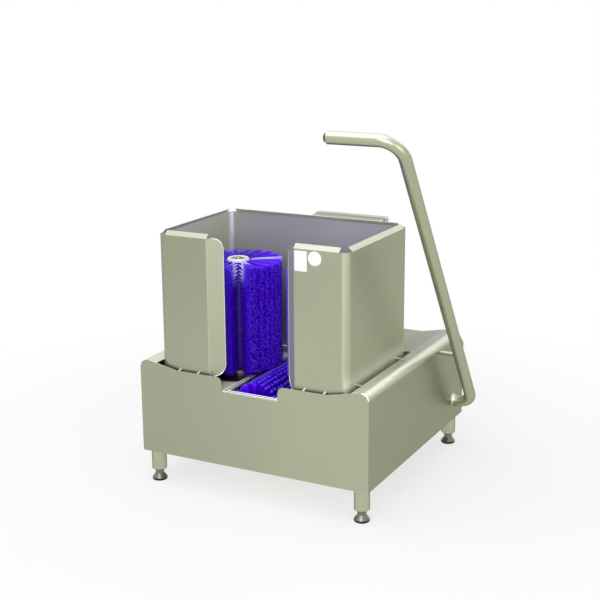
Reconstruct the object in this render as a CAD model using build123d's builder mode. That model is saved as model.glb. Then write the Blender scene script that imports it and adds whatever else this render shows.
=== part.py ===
from build123d import *
import os
from math import atan2, cos, degrees, hypot, radians, sin, sqrt, tan

# Boot washer: a square sheet base on levelling feet, an open-fronted shroud, two upright
# brushes, a lying roller brush in the floor, a tube handle and the drive that turns the brushes.
# Millimetres, +Z up, front at -Y. The model is laid out about the middle of the base, and each
# piece is then moved so that the origin is the middle of the whole footprint on the floor.

os.makedirs("parts", exist_ok=True)

# Stock and clearances
sheet = 2.0                # stainless sheet
weld_gap = 0.2             # left between curved faces that are fixed together
run_gap = 0.35             # left round everything that turns or slides

# Base
base_width = 700.0
base_depth = 700.0
base_bottom = 94.0         # floor to the lower edge of the panels
deck_height = 346.0        # floor to the level part of the deck
valley_half = 228.0        # half the width of the level part of the deck
slope_angle = 11.0         # rise of the deck towards the sides, degrees
ridge_radius = 22.0        # outside bend between deck and side
rear_lean = 33.0           # depth of the strip that leans from the deck to the rear panel
corner_plate_size = 80.0
corner_plate_thick = 4.0

# Step-in notch, floor and roller slot
notch_depth = 40.5         # deck down to the floor plate
notch_corner = 16.0
sill = 13.0                # strip of floor plate in front of the slot
slot_clear = 13.2          # roller to the edge of the slot, at the floor plate
rim_width = 14.0
rim_height = 3.0

# Shroud
side_shelf = 65.0          # base side to shroud side
drain_gap = 12.0           # gap round the foot of the shroud
rear_drain_gap = 22.0
shroud_depth = 386.0
shroud_sink = 6.0          # foot of the shroud below the deck
shroud_height = 383.0
shroud_bend = 20.0
mouth_half = 98.0          # half the width of the boot opening
flange_length = 46.5       # flange at the opening, along its slope
flange_angle = 45.0        # turn of the flange into the shroud, degrees
flange_bend = 5.0
flange_corner = 32.0
lip_in = 11.0
lip_up = 11.5
lip_clear = 25.0           # shroud corner to the end of a lip
tab_thick = 6.0
tab_lap = 14.0             # how far a tab lies on the deck
tab_drop = 16.0            # how far a tab reaches down into the gap
tab_rise = 5.0             # height of a tab at the shroud, over the deck
tab_edge = 1.5             # height of a tab at its far end
tab_spacing = 60.0

# Upright brushes
boot_gap = 41.0            # between the two brushes
wall_clear = 10.5          # brush to shroud wall
brush_top = 633.0
brush_core_radius = 35.0
brush_shaft_radius = 10.0
cap_thick = 8.0
cap_proud = 2.0            # cap above the bristles
backing = 4.0              # sleeve that the tufts stand in
tuft = 6.0
brush_columns = 12
brush_levels = 13
roller_clear = 2.0         # upright brush to roller

# Roller brush
roller_radius = 75.0
roller_drop = 46.5         # roller axis below the floor plate
roller_core_radius = 30.0
roller_shaft_radius = 10.0
roller_end_gap = 13.0      # slot end to bristles
slot_back_gap = 16.0       # slot end to rear wall of the shroud
roller_columns = 10
roller_levels = 13

# Bearings, screws and gear housings
bearing_half = 30.0
bearing_thick = 16.0
floor_bearing_radius = 45.0
floor_bearing_height = 8.0
screw_circle = 34.0
screw_radius = 3.0
screw_head_radius = 5.0
screw_head = 4.0
shaft_hole_gap = 3.0       # sheet to a shaft that passes through it
mitre_inner = 14.0         # shaft crossing to the small end of a mitre gear
mitre_outer = 26.0
mitre_hub_radius = 15.0
mitre_hub = 6.0
mesh_gap = 0.4
housing_wall = 4.0
housing_clear = 6.0
cross_shaft_radius = 8.0

# Drive bay
pulley_radius = 30.0
pulley_width = 14.0
pulley_space = 4.0
belt_thick = 4.0
belt_inset = 1.0           # belt edge to pulley edge
coupling_radius = 20.0
coupling_length = 30.0
gearbox_half = 45.0
gearbox_length = 60.0
gearbox_bore_depth = 15.0
edge_round = 8.0
motor_radius = 48.0
motor_back_gap = 14.0      # motor to rear panel
fan_cover = 30.0
fan_cover_step = 4.0
terminal_width = 60.0
terminal_height = 26.0
terminal_gap = 6.0         # terminal box to gearbox and fan cover
bracket_half = 50.0
bracket_thick = 4.0

# Sump and drain
sump_depth = 50.0
sump_floor = 120.0         # square at the bottom of the pan
drain_radius = 25.0
drain_wall = 2.0
drain_flange_radius = 40.0
drain_flange = 3.0
drain_end = 50.0           # floor to the end of the outlet

# Water
water_inset = 40.0         # base side to the inlet
water_setback = 76.0       # bulkhead to the inlet
inlet_radius = 10.4
inlet_bore = 7.0
inlet_end = 60.0
inlet_flange_radius = 15.0
inlet_flange = 10.0
inlet_nut = 5.0
valve_size = (40.0, 60.0, 44.0)
valve_coil_radius = 14.0
valve_coil = 34.0
pipe_radius = 6.0
pipe_bend = 20.0
pipe_run_z = 220.0
spray_rise = 14.5          # spray pipe over the floor plate
spray_half = 200.0
nozzle_radius = 4.0
nozzle_reach = 12.0
nozzle_count = 4

# Legs and levelling feet
leg_radius = 21.2
leg_wall = 2.0
leg_inset = 31.0
leg_bottom = 33.0
plug_collar = 3.0
plug_depth = 20.0
plug_chamfer = 2.0
foot_radius = 21.5
foot_rim = 7.0
foot_neck_radius = 12.5
foot_cone_top = 19.0
foot_gap = 1.5             # neck to plug with the foot screwed in
spindle_radius = 8.0
spindle_gap = 9.0          # spindle to corner plate

# Handle
handle_radius = 16.85
handle_wall = 2.0
handle_standoff = 60.0     # base side to handle
handle_foot_inset = 77.0   # back of the base to the lower end of the handle
handle_foot_z = 156.5
handle_foot_bend = 45.0
grip_setback = 40.0        # front panel to grip
grip_z = 1006.0
grip_bend = 58.0
grip_end_x = 215.0
stay_width = 25.0
stay_thick = 4.0

# Push button in the end of the grip
button_wall = 1.8          # guide wall round the button
button_out = 9.0
button_in = 3.0
button_round = 4.0
button_travel = 4.0
button_stem_radius = 6.0
button_stem = 22.0
guide_length = 30.0
switch_length = 34.0

# Control box behind the shroud
box_left = -24.0
box_width = 216.0
box_depth = 74.0
box_bottom = 470.0
box_height = 259.0
box_flange = 16.0
lid_rim = 22.0
lid_lap_gap = 0.5
lid_screw_inset = 8.0
relay_size = (90.0, 45.0, 90.0)
gland_radius = 12.0
gland_thread_radius = 8.0
gland_height = 24.0
gland_inside = 6.0
conduit_radius = 10.0
conduit_wall = 2.0
conduit_inset = 60.0       # conduit to the middle of the box

# Worked out from the sizes above
half_width = base_width / 2
front_y = -base_depth / 2
back_y = base_depth / 2
lean_y = back_y - rear_lean
lean_drop = rear_lean - sheet
slope = tan(radians(slope_angle))
sides = {"left": -1, "right": 1}

shroud_half = half_width - side_shelf
shroud_front = front_y + drain_gap
shroud_back = shroud_front + shroud_depth
shroud_foot = deck_height - shroud_sink
shroud_top = shroud_foot + shroud_height
opening_half = shroud_half + drain_gap
opening_back = shroud_back + rear_drain_gap
opening_corner = rear_drain_gap - sheet
bulkhead_y = opening_back + sheet
bay_y = bulkhead_y + sheet
bay_floor = base_bottom + corner_plate_thick

notch_floor = deck_height - notch_depth
floor_under = notch_floor - sheet
slot_half = sqrt(roller_radius**2 - roller_drop**2) + slot_clear
notch_half = slot_half + rim_width
slot_front = front_y + sheet + sill
slot_back = shroud_back - slot_back_gap
roller_front = slot_front + roller_end_gap
roller_back = slot_back - roller_end_gap
roller_z = notch_floor - roller_drop

brush_radius = (shroud_half - sheet - wall_clear - boot_gap / 2) / 2
brush_x = boot_gap / 2 + brush_radius
brush_y = shroud_front + shroud_depth / 2
brush_foot = notch_floor + floor_bearing_height + screw_head + run_gap

housing_half = mitre_outer + mitre_hub + housing_clear + housing_wall
cross_z = floor_under - housing_half

first_pulley_y = bay_y + 2 * pulley_space
second_pulley_y = first_pulley_y + pulley_width + pulley_space
coupling_y = second_pulley_y + pulley_width + pulley_space
gearbox_y = coupling_y + coupling_length + pulley_space
motor_y = gearbox_y + gearbox_length

water_x = -half_width + water_inset
water_y = bay_y + water_setback
spray_z = notch_floor + spray_rise
spindle_top = base_bottom - spindle_gap

handle_x = half_width + handle_standoff
handle_foot_y = back_y - handle_foot_inset
grip_y = front_y + grip_setback
frame_shift = -(handle_standoff + handle_radius) / 2


def slope_z(x):
    """Height of the deck at a distance x from the middle."""
    return deck_height + (abs(x) - valley_half) * slope


corner_z = slope_z(half_width)
wall_top = corner_z - ridge_radius * tan(radians(90 + slope_angle) / 2)
base_outline = [
    (-half_width, base_bottom),
    (half_width, base_bottom),
    (half_width, corner_z),
    (valley_half, deck_height),
    (-valley_half, deck_height),
    (-half_width, corner_z),
]
outline_radii = [0, 0, ridge_radius, 0, 0, ridge_radius]


def write(piece, name):
    """Move a finished piece into the frame of the whole machine and write it."""
    placed = piece.part.moved(Location((frame_shift, 0, 0)))
    placed.label = name
    export_step(placed, f"parts/{name}.step")


def across(y):
    """Upright plane across the machine at depth y, with local axes X and Z."""
    return Plane.XZ.offset(-y)


def section(x, y):
    """Upright plane through a vertical axis, with local axes X and Z."""
    return Plane((x, y, 0), x_dir=(1, 0, 0), z_dir=(0, -1, 0))


def block(low, high, mode=Mode.ADD):
    """Box between two corners."""
    middle = [(a + b) / 2 for a, b in zip(low, high)]
    size = [b - a for a, b in zip(low, high)]
    with Locations(tuple(middle)):
        Box(*size, mode=mode)


def post(radius, x, y, low, high, mode=Mode.ADD):
    """Upright cylinder."""
    with Locations((x, y, low)):
        Cylinder(radius, high - low, align=(Align.CENTER, Align.CENTER, Align.MIN), mode=mode)


def rod(radius, x, z, front, back, mode=Mode.ADD):
    """Cylinder that lies along Y."""
    with Locations((x, (front + back) / 2, z)):
        Cylinder(radius, back - front, rotation=(90, 0, 0), mode=mode)


def peg(radius, y, z, low, high, mode=Mode.ADD):
    """Cylinder that lies along X."""
    with Locations(((low + high) / 2, y, z)):
        Cylinder(radius, high - low, rotation=(0, 90, 0), mode=mode)


# Front panel with the step-in notch
with BuildPart() as front_panel:
    with BuildSketch(across(front_y)) as face:
        with BuildLine():
            FilletPolyline(*base_outline, radius=outline_radii, close=True)
        make_face()
        with Locations((0, notch_floor)):
            Rectangle(2 * notch_half, deck_height, align=(Align.CENTER, Align.MIN), mode=Mode.SUBTRACT)
        notch_top = face.vertices().filter_by(
            lambda v: abs(abs(v.X) - notch_half) < weld_gap and abs(v.Y - deck_height) < weld_gap
        )
        fillet(notch_top, radius=notch_corner)
    extrude(amount=-sheet)
write(front_panel, "front_panel")

# Rear panel, as high as the lower end of the strip that leans back from the deck
rear_outline = [(x, max(base_bottom, z - lean_drop)) for x, z in base_outline]
with BuildPart() as rear_panel:
    with BuildSketch(across(back_y - sheet)):
        with BuildLine():
            FilletPolyline(*rear_outline, radius=outline_radii, close=True)
        make_face()
    extrude(amount=-sheet)
write(rear_panel, "rear_panel")


def run_back(profile, front):
    """Draw a profile out from the front to the fold, and from there down to the rear panel."""
    extrude(profile.sketch, amount=lean_y - front)
    extrude(profile.sketch, amount=sqrt(2) * lean_drop, dir=(0, 1, -1))
    block((-half_width, lean_y, 0), (half_width, back_y, base_bottom), mode=Mode.SUBTRACT)


# Side panels: wall, bent ridge and the slope down to the drain gap
for name, side in sides.items():
    with BuildPart() as side_panel:
        with BuildSketch(across(lean_y), mode=Mode.PRIVATE) as profile:
            with BuildLine():
                FilletPolyline(
                    (side * half_width, base_bottom),
                    (side * half_width, corner_z),
                    (side * opening_half, slope_z(opening_half)),
                    radius=ridge_radius,
                )
                offset(amount=sheet, side=Side.LEFT if side > 0 else Side.RIGHT)
            make_face()
        run_back(profile, front_y + sheet)
    write(side_panel, f"{name}_side_panel")

# Rear deck between the two slopes, with rounded inner corners at the opening
conduit_x = box_left + box_width / 2 + conduit_inset
conduit_y = shroud_back + box_depth / 2
deck_front = opening_back - opening_corner
with BuildPart() as rear_deck:
    with BuildSketch(across(lean_y), mode=Mode.PRIVATE) as profile:
        with BuildLine():
            Polyline(
                (-opening_half, slope_z(opening_half)),
                (-valley_half, deck_height),
                (valley_half, deck_height),
                (opening_half, slope_z(opening_half)),
            )
            offset(amount=sheet, side=Side.RIGHT)
        make_face()
    run_back(profile, deck_front)
    with BuildSketch(Plane.XY.offset(base_bottom)):
        with Locations((0, opening_back)):
            RectangleRounded(
                2 * opening_half, 4 * opening_corner, opening_corner, align=(Align.CENTER, Align.MAX)
            )
    extrude(amount=corner_z, mode=Mode.SUBTRACT)
    post(conduit_radius - conduit_wall, conduit_x, conduit_y, base_bottom, corner_z, mode=Mode.SUBTRACT)
write(rear_deck, "rear_deck")

# Bulkhead between the wet well and the drive bay
with BuildPart() as bulkhead:
    with BuildSketch(across(bulkhead_y)) as wall:
        with BuildLine():
            FilletPolyline(*base_outline, radius=outline_radii, close=True)
        make_face()
        offset(amount=-(sheet + weld_gap), kind=Kind.INTERSECTION)
        with Locations((0, base_bottom)):
            Rectangle(
                base_width, corner_plate_thick, align=(Align.CENTER, Align.MIN), mode=Mode.SUBTRACT
            )
        with Locations((0, roller_z)):
            Circle(roller_shaft_radius + shaft_hole_gap, mode=Mode.SUBTRACT)
        with Locations((-brush_x, cross_z), (brush_x, cross_z)):
            Circle(cross_shaft_radius + shaft_hole_gap, mode=Mode.SUBTRACT)
        with Locations((water_x, pipe_run_z)):
            Circle(pipe_radius + weld_gap, mode=Mode.SUBTRACT)
    extrude(amount=-sheet)
write(bulkhead, "bulkhead")

# Bottom plate of the drive bay
with BuildPart() as bottom_plate:
    block(
        (-half_width + sheet, bay_y, bay_floor),
        (half_width - sheet, back_y - sheet, bay_floor + sheet),
    )
    post(inlet_radius + weld_gap, water_x, water_y, 0, deck_height, mode=Mode.SUBTRACT)
write(bottom_plate, "bottom_plate")

# Sump pan, drawn down to the drain
sump_bottom = bay_floor + sheet
sump_y = (front_y + sheet + bulkhead_y) / 2
sump_width = base_width - 2 * (sheet + weld_gap)
sump_length = bulkhead_y - front_y - sheet - 2 * weld_gap
with BuildPart() as sump_pan:
    for wall, mode in ((0, Mode.ADD), (sheet, Mode.SUBTRACT)):
        with BuildSketch(Plane((0, sump_y, sump_bottom + wall))):
            Rectangle(sump_floor - 2 * wall, sump_floor - 2 * wall)
        with BuildSketch(Plane((0, sump_y, sump_bottom + sump_depth))):
            Rectangle(sump_width - 2 * wall, sump_length - 2 * wall)
        loft(mode=mode)
    post(drain_radius - drain_wall, 0, sump_y, 0, deck_height, mode=Mode.SUBTRACT)
write(sump_pan, "sump_pan")

# Drain outlet under the sump
with BuildPart() as drain_outlet:
    post(drain_flange_radius, 0, sump_y, sump_bottom - drain_flange, sump_bottom)
    post(drain_radius, 0, sump_y, drain_end, sump_bottom)
    post(drain_radius - drain_wall, 0, sump_y, drain_end, sump_bottom, mode=Mode.SUBTRACT)
write(drain_outlet, "drain_outlet")

# Floor plate with the roller slot and the holes of the brush bearings
with BuildPart() as floor_plate:
    block(
        (-opening_half, front_y + sheet, floor_under),
        (opening_half, bulkhead_y, notch_floor),
    )
    block(
        (-slot_half, slot_front, 0),
        (slot_half, slot_back, deck_height),
        mode=Mode.SUBTRACT,
    )
    for side in sides.values():
        post(brush_shaft_radius + shaft_hole_gap, side * brush_x, brush_y, 0, deck_height, mode=Mode.SUBTRACT)
        with Locations((side * brush_x, brush_y, floor_under)):
            with PolarLocations(screw_circle, 4):
                Cylinder(screw_radius + weld_gap, 2 * sheet, mode=Mode.SUBTRACT)
write(floor_plate, "floor_plate")

# Flat rim on three sides of the slot
with BuildPart() as slot_rim:
    block(
        (-slot_half - rim_width, front_y + sheet, notch_floor),
        (slot_half + rim_width, slot_back + rim_width, notch_floor + rim_height),
    )
    block(
        (-slot_half, front_y, notch_floor),
        (slot_half, slot_back, deck_height),
        mode=Mode.SUBTRACT,
    )
write(slot_rim, "slot_rim")

# Shroud: one folded sheet with flanges at the opening and lips on its straight top edges
flange_across = cos(radians(flange_angle))
flange_inward = sin(radians(flange_angle))
flange_root = mouth_half + flange_length * flange_across
flange_end = shroud_front + flange_length * flange_inward
lip_angle = atan2(lip_up, lip_in)
lip_lengths = {
    "front": shroud_half - flange_root - lip_clear,
    "side": shroud_depth - 2 * lip_clear,
    "rear": 2 * (shroud_half - lip_clear),
}
lip_runs = [
    ((-shroud_half + lip_clear, shroud_front), (0, 1), lip_lengths["front"]),
    ((flange_root, shroud_front), (0, 1), lip_lengths["front"]),
    ((shroud_half, shroud_front + lip_clear), (-1, 0), lip_lengths["side"]),
    ((-shroud_half, shroud_back - lip_clear), (1, 0), lip_lengths["side"]),
    ((shroud_half - lip_clear, shroud_back), (0, -1), lip_lengths["rear"]),
]
with BuildPart() as shroud:
    with BuildSketch(Plane.XY.offset(shroud_foot)):
        with BuildLine():
            FilletPolyline(
                (-mouth_half, flange_end),
                (-flange_root, shroud_front),
                (-shroud_half, shroud_front),
                (-shroud_half, shroud_back),
                (shroud_half, shroud_back),
                (shroud_half, shroud_front),
                (flange_root, shroud_front),
                (mouth_half, flange_end),
                radius=[flange_bend, *[shroud_bend] * 4, flange_bend],
            )
            offset(amount=sheet, side=Side.RIGHT)
        make_face()
    extrude(amount=shroud_top - shroud_foot)
    for side in sides.values():
        tip = (side * mouth_half, flange_end, shroud_foot)
        along = (-side * flange_across, flange_inward, 0)
        with BuildSketch(Plane(tip, x_dir=along, z_dir=(flange_inward, side * flange_across, 0))):
            for edge, into in ((0, 1), (shroud_height, -1)):
                with Locations((-flange_corner / 2, edge + into * flange_corner / 2)):
                    Rectangle(flange_corner, flange_corner)
                with Locations((-flange_corner, edge + into * flange_corner)):
                    Circle(flange_corner, mode=Mode.SUBTRACT)
        extrude(amount=2 * sheet, both=True, mode=Mode.SUBTRACT)
    for start, inward, length in lip_runs:
        x_dir = Vector(*inward, 0)
        with BuildSketch(Plane((*start, shroud_top), x_dir=x_dir, z_dir=x_dir.cross(Vector(0, 0, 1)))):
            with BuildLine():
                Polyline(
                    (0, -sheet),
                    (0, 0),
                    (lip_in, lip_up),
                    (lip_in + sheet * sin(lip_angle), lip_up - sheet * cos(lip_angle)),
                    (sheet, (sheet - sheet * sin(lip_angle)) * tan(lip_angle) - sheet * cos(lip_angle)),
                    (sheet, -sheet),
                    close=True,
                )
            make_face()
        extrude(amount=length)
write(shroud, "shroud")

# Upright tabs that bridge the drain gap and carry the shroud
shelf_z = slope_z(opening_half)
lap_x = opening_half + tab_lap
front_tab_x = [valley_half - tab_thick - tab_spacing, valley_half - tab_thick]
with BuildPart() as shroud_tabs:
    for x in [sign * x for x in front_tab_x for sign in sides.values()]:
        with BuildSketch(Plane.YZ.offset(x - tab_thick / 2)):
            with BuildLine():
                Polyline(
                    (front_y, deck_height),
                    (front_y, deck_height + tab_edge),
                    (shroud_front, deck_height + tab_rise),
                    (shroud_front, deck_height - tab_drop / 2),
                    (front_y + sheet, deck_height - tab_drop / 2),
                    (front_y + sheet, deck_height),
                    close=True,
                )
            make_face()
        extrude(amount=tab_thick)
    for y in (shroud_front + 2 * lip_clear, shroud_back - 3 * lip_clear):
        with BuildSketch(across(y + tab_thick / 2)):
            for side in sides.values():
                with BuildLine():
                    Polyline(
                        (side * shroud_half, shelf_z - tab_drop),
                        (side * opening_half, shelf_z - tab_drop),
                        (side * opening_half, shelf_z),
                        (side * lap_x, slope_z(lap_x)),
                        (side * lap_x, slope_z(lap_x) + tab_edge),
                        (side * shroud_half, shelf_z + tab_rise),
                        close=True,
                    )
                make_face()
        extrude(amount=tab_thick)
    for x in [sign * max(front_tab_x) for sign in sides.values()]:
        with BuildSketch(Plane.YZ.offset(x - tab_thick / 2)):
            with BuildLine():
                Polyline(
                    (shroud_back, deck_height - tab_drop / 2),
                    (opening_back, deck_height - tab_drop / 2),
                    (opening_back, deck_height),
                    (opening_back + tab_lap, deck_height),
                    (opening_back + tab_lap, deck_height + tab_edge),
                    (shroud_back, deck_height + tab_rise),
                    close=True,
                )
            make_face()
        extrude(amount=tab_thick)
write(shroud_tabs, "shroud_tabs")

# Corner plates, legs, end plugs and levelling feet
leg_x = half_width - leg_inset
leg_y = base_depth / 2 - leg_inset
corners = {
    "front_left": (-1, -1),
    "front_right": (1, -1),
    "rear_left": (-1, 1),
    "rear_right": (1, 1),
}
leg_places = [(x * leg_x, y * leg_y) for x, y in corners.values()]
plate_x = half_width - sheet - corner_plate_size / 2
plate_y = base_depth / 2 - sheet - corner_plate_size / 2
with BuildPart() as corner_plates:
    with Locations(*[(x * plate_x, y * plate_y, base_bottom) for x, y in corners.values()]):
        Box(
            corner_plate_size,
            corner_plate_size,
            corner_plate_thick,
            align=(Align.CENTER, Align.CENTER, Align.MIN),
        )
write(corner_plates, "corner_plates")

with BuildPart() as legs:
    with BuildSketch(Plane.XY.offset(leg_bottom + plug_collar)):
        with Locations(*leg_places):
            Circle(leg_radius)
            Circle(leg_radius - leg_wall, mode=Mode.SUBTRACT)
    extrude(amount=base_bottom - leg_bottom - plug_collar)
write(legs, "legs")

with BuildPart() as leg_plugs:
    for place in leg_places:
        with BuildSketch(section(*place)):
            with BuildLine():
                Polyline(
                    (spindle_radius + run_gap, leg_bottom),
                    (leg_radius - plug_chamfer, leg_bottom),
                    (leg_radius, leg_bottom + plug_chamfer),
                    (leg_radius, leg_bottom + plug_collar),
                    (leg_radius - leg_wall - weld_gap, leg_bottom + plug_collar),
                    (leg_radius - leg_wall - weld_gap, leg_bottom + plug_depth),
                    (spindle_radius + run_gap, leg_bottom + plug_depth),
                    close=True,
                )
            make_face()
        revolve(axis=Axis((*place, 0), (0, 0, 1)))
write(leg_plugs, "leg_plugs")

for (name, _), place in zip(corners.items(), leg_places):
    with BuildPart() as foot:
        with BuildSketch(section(*place)):
            with BuildLine():
                Polyline(
                    (0, 0),
                    (foot_radius - plug_chamfer, 0),
                    (foot_radius, plug_chamfer),
                    (foot_radius, foot_rim),
                    (foot_neck_radius, foot_cone_top),
                    (foot_neck_radius, leg_bottom - foot_gap),
                    (spindle_radius, leg_bottom - foot_gap),
                    (spindle_radius, spindle_top),
                    (0, spindle_top),
                    close=True,
                )
            make_face()
        revolve(axis=Axis((*place, 0), (0, 0, 1)))
    write(foot, f"{name}_foot")

# Upright brushes: core, bristles trimmed to clear the roller, cap and shaft with its mitre gear
sleeve_radius = brush_core_radius + weld_gap + backing
bristle_top = brush_top - cap_proud
level_pitch = (bristle_top - brush_foot - tuft) / (brush_levels - 0.5)
trim_apex = roller_z - brush_x + sqrt(2) * (roller_radius + roller_clear)
trim_out = brush_radius + 2 * tuft
trim_low = brush_foot - tuft
core_foot = brush_foot + tuft / 2
core_top = brush_top - cap_thick
gear_low = cross_z + mitre_inner + mesh_gap
gear_high = cross_z + mitre_outer + mesh_gap
for name, side in sides.items():
    x = side * brush_x
    with BuildPart() as brush_core:
        post(brush_core_radius, x, brush_y, core_foot, core_top)
        post(brush_shaft_radius + weld_gap, x, brush_y, core_foot, core_top, mode=Mode.SUBTRACT)
    write(brush_core, f"{name}_brush_core")

    tuft_places = []
    for column in range(brush_columns):
        angle = 360 * column / brush_columns
        for level in range(brush_levels):
            z = brush_foot + tuft / 2 + (level + 0.5 * (column % 2)) * level_pitch
            tuft_places.append(Location((x, brush_y, z), (0, 0, angle)) * Pos(sleeve_radius - backing / 2, 0, 0))
    with BuildPart() as brush_bristles:
        post(sleeve_radius, x, brush_y, brush_foot, bristle_top)
        post(brush_core_radius + weld_gap, x, brush_y, brush_foot, bristle_top, mode=Mode.SUBTRACT)
        with Locations(*tuft_places):
            Box(
                brush_radius - sleeve_radius + backing / 2,
                tuft,
                tuft,
                align=(Align.MIN, Align.CENTER, Align.CENTER),
            )
        with BuildSketch(section(x, brush_y)):
            with BuildLine():
                Polyline(
                    (trim_low - trim_apex, trim_low),
                    (trim_out, trim_low),
                    (trim_out, trim_out + trim_apex),
                    close=True,
                )
            make_face()
        revolve(axis=Axis((x, brush_y, 0), (0, 0, 1)), mode=Mode.SUBTRACT)
    write(brush_bristles, f"{name}_brush_bristles")

    with BuildPart() as brush_cap:
        post(brush_core_radius, x, brush_y, core_top, brush_top)
        fillet(brush_cap.faces().sort_by(Axis.Z)[-1].edges(), radius=cap_thick / 4)
    write(brush_cap, f"{name}_brush_cap")

    with BuildPart() as brush_shaft:
        post(brush_shaft_radius, x, brush_y, gear_low, core_top - cap_thick)
        with Locations((x, brush_y, gear_low)):
            Cone(
                mitre_inner,
                mitre_outer,
                gear_high - gear_low,
                align=(Align.CENTER, Align.CENTER, Align.MIN),
            )
        post(mitre_hub_radius, x, brush_y, gear_high, gear_high + mitre_hub)
    write(brush_shaft, f"{name}_brush_shaft")

# Bearings of the upright brushes on the floor plate
bearing_top = notch_floor + floor_bearing_height
with BuildPart() as brush_bearings:
    for side in sides.values():
        post(floor_bearing_radius, side * brush_x, brush_y, notch_floor, bearing_top)
        post(brush_shaft_radius + run_gap, side * brush_x, brush_y, notch_floor, bearing_top, mode=Mode.SUBTRACT)
        with Locations((side * brush_x, brush_y, notch_floor)):
            with PolarLocations(screw_circle, 4):
                Cylinder(screw_radius + weld_gap, 4 * floor_bearing_height, mode=Mode.SUBTRACT)
write(brush_bearings, "brush_bearings")

# Mitre gear housings under the floor plate
for name, side in sides.items():
    x = side * brush_x
    with BuildPart() as gear_housing:
        block(
            (x - housing_half, brush_y - housing_half, cross_z - housing_half),
            (x + housing_half, brush_y + housing_half, floor_under),
        )
        fillet(gear_housing.edges().filter_by(Axis.Z), radius=edge_round)
        block(
            (
                x - housing_half + housing_wall,
                brush_y - housing_half + housing_wall,
                cross_z - housing_half + housing_wall,
            ),
            (
                x + housing_half - housing_wall,
                brush_y + housing_half - housing_wall,
                floor_under - housing_wall,
            ),
            mode=Mode.SUBTRACT,
        )
        post(brush_shaft_radius + run_gap, x, brush_y, cross_z, floor_under, mode=Mode.SUBTRACT)
        rod(
            cross_shaft_radius + run_gap,
            x,
            cross_z,
            brush_y,
            brush_y + housing_half,
            mode=Mode.SUBTRACT,
        )
    write(gear_housing, f"{name}_gear_housing")

# Cross shafts, each with its mitre gear and pulley. The right one carries its gear beyond the
# brush shaft, so that the two brushes turn opposite ways.
gear_side = {"left": 1, "right": -1}
pulley_front = {"left": first_pulley_y, "right": second_pulley_y}
gear_length = mitre_outer - mitre_inner
for name, side in sides.items():
    x = side * brush_x
    toward = gear_side[name]
    gear_middle = brush_y + toward * ((mitre_inner + mitre_outer) / 2 + mesh_gap)
    hub_middle = brush_y + toward * (mitre_outer + mesh_gap + mitre_hub / 2)
    shaft_front = min(brush_y + toward * (mitre_inner + mesh_gap), hub_middle - mitre_hub / 2)
    shaft_back = pulley_front[name] + pulley_width
    with BuildPart() as cross_shaft:
        rod(cross_shaft_radius, x, cross_z, shaft_front, shaft_back)
        rod(pulley_radius, x, cross_z, pulley_front[name], shaft_back)
        with Locations((x, gear_middle, cross_z)):
            Cone(mitre_inner, mitre_outer, gear_length, rotation=(-90 * toward, 0, 0))
        with Locations((x, hub_middle, cross_z)):
            Cylinder(mitre_hub_radius, mitre_hub, rotation=(90, 0, 0))
    write(cross_shaft, f"{name}_cross_shaft")

# Bearings of the cross shafts on the bulkhead
with BuildPart() as cross_shaft_bearings:
    for side in sides.values():
        x = side * brush_x
        block(
            (x - bearing_half, bulkhead_y - bearing_thick, cross_z - bearing_half),
            (x + bearing_half, bulkhead_y, cross_z + bearing_half),
        )
    fillet(cross_shaft_bearings.edges().filter_by(Axis.Y), radius=edge_round)
    for side in sides.values():
        rod(
            cross_shaft_radius + run_gap,
            side * brush_x,
            cross_z,
            bulkhead_y - bearing_thick,
            bulkhead_y,
            mode=Mode.SUBTRACT,
        )
write(cross_shaft_bearings, "cross_shaft_bearings")

# Roller brush: core, bristles, shaft with two pulleys and a coupling
roller_sleeve = roller_core_radius + weld_gap + backing
roller_pitch = (roller_back - roller_front - tuft) / (roller_levels - 0.5)
shaft_front_end = front_y + 2 * sheet
shaft_back_end = gearbox_y + gearbox_bore_depth - 2 * sheet
with BuildPart() as roller_core:
    rod(roller_core_radius, 0, roller_z, roller_front, roller_back)
    rod(roller_shaft_radius + weld_gap, 0, roller_z, roller_front, roller_back, mode=Mode.SUBTRACT)
write(roller_core, "roller_core")

roller_tufts = []
for column in range(roller_columns):
    angle = 360 * column / roller_columns
    for level in range(roller_levels):
        y = roller_front + tuft / 2 + (level + 0.5 * (column % 2)) * roller_pitch
        roller_tufts.append(Location((0, y, roller_z), (0, angle, 0)) * Pos(roller_sleeve - backing / 2, 0, 0))
with BuildPart() as roller_bristles:
    rod(roller_sleeve, 0, roller_z, roller_front, roller_back)
    rod(roller_core_radius + weld_gap, 0, roller_z, roller_front, roller_back, mode=Mode.SUBTRACT)
    with Locations(*roller_tufts):
        Box(
            roller_radius - roller_sleeve + backing / 2,
            tuft,
            tuft,
            align=(Align.MIN, Align.CENTER, Align.CENTER),
        )
write(roller_bristles, "roller_bristles")

with BuildPart() as roller_shaft:
    rod(roller_shaft_radius, 0, roller_z, shaft_front_end, shaft_back_end)
write(roller_shaft, "roller_shaft")

with BuildPart() as roller_pulleys:
    for y in pulley_front.values():
        rod(pulley_radius, 0, roller_z, y, y + pulley_width)
        rod(roller_shaft_radius + weld_gap, 0, roller_z, y, y + pulley_width, mode=Mode.SUBTRACT)
write(roller_pulleys, "roller_pulleys")

with BuildPart() as shaft_coupling:
    rod(coupling_radius, 0, roller_z, coupling_y, coupling_y + coupling_length)
    rod(roller_shaft_radius + weld_gap, 0, roller_z, coupling_y, coupling_y + coupling_length, mode=Mode.SUBTRACT)
write(shaft_coupling, "shaft_coupling")

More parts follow.
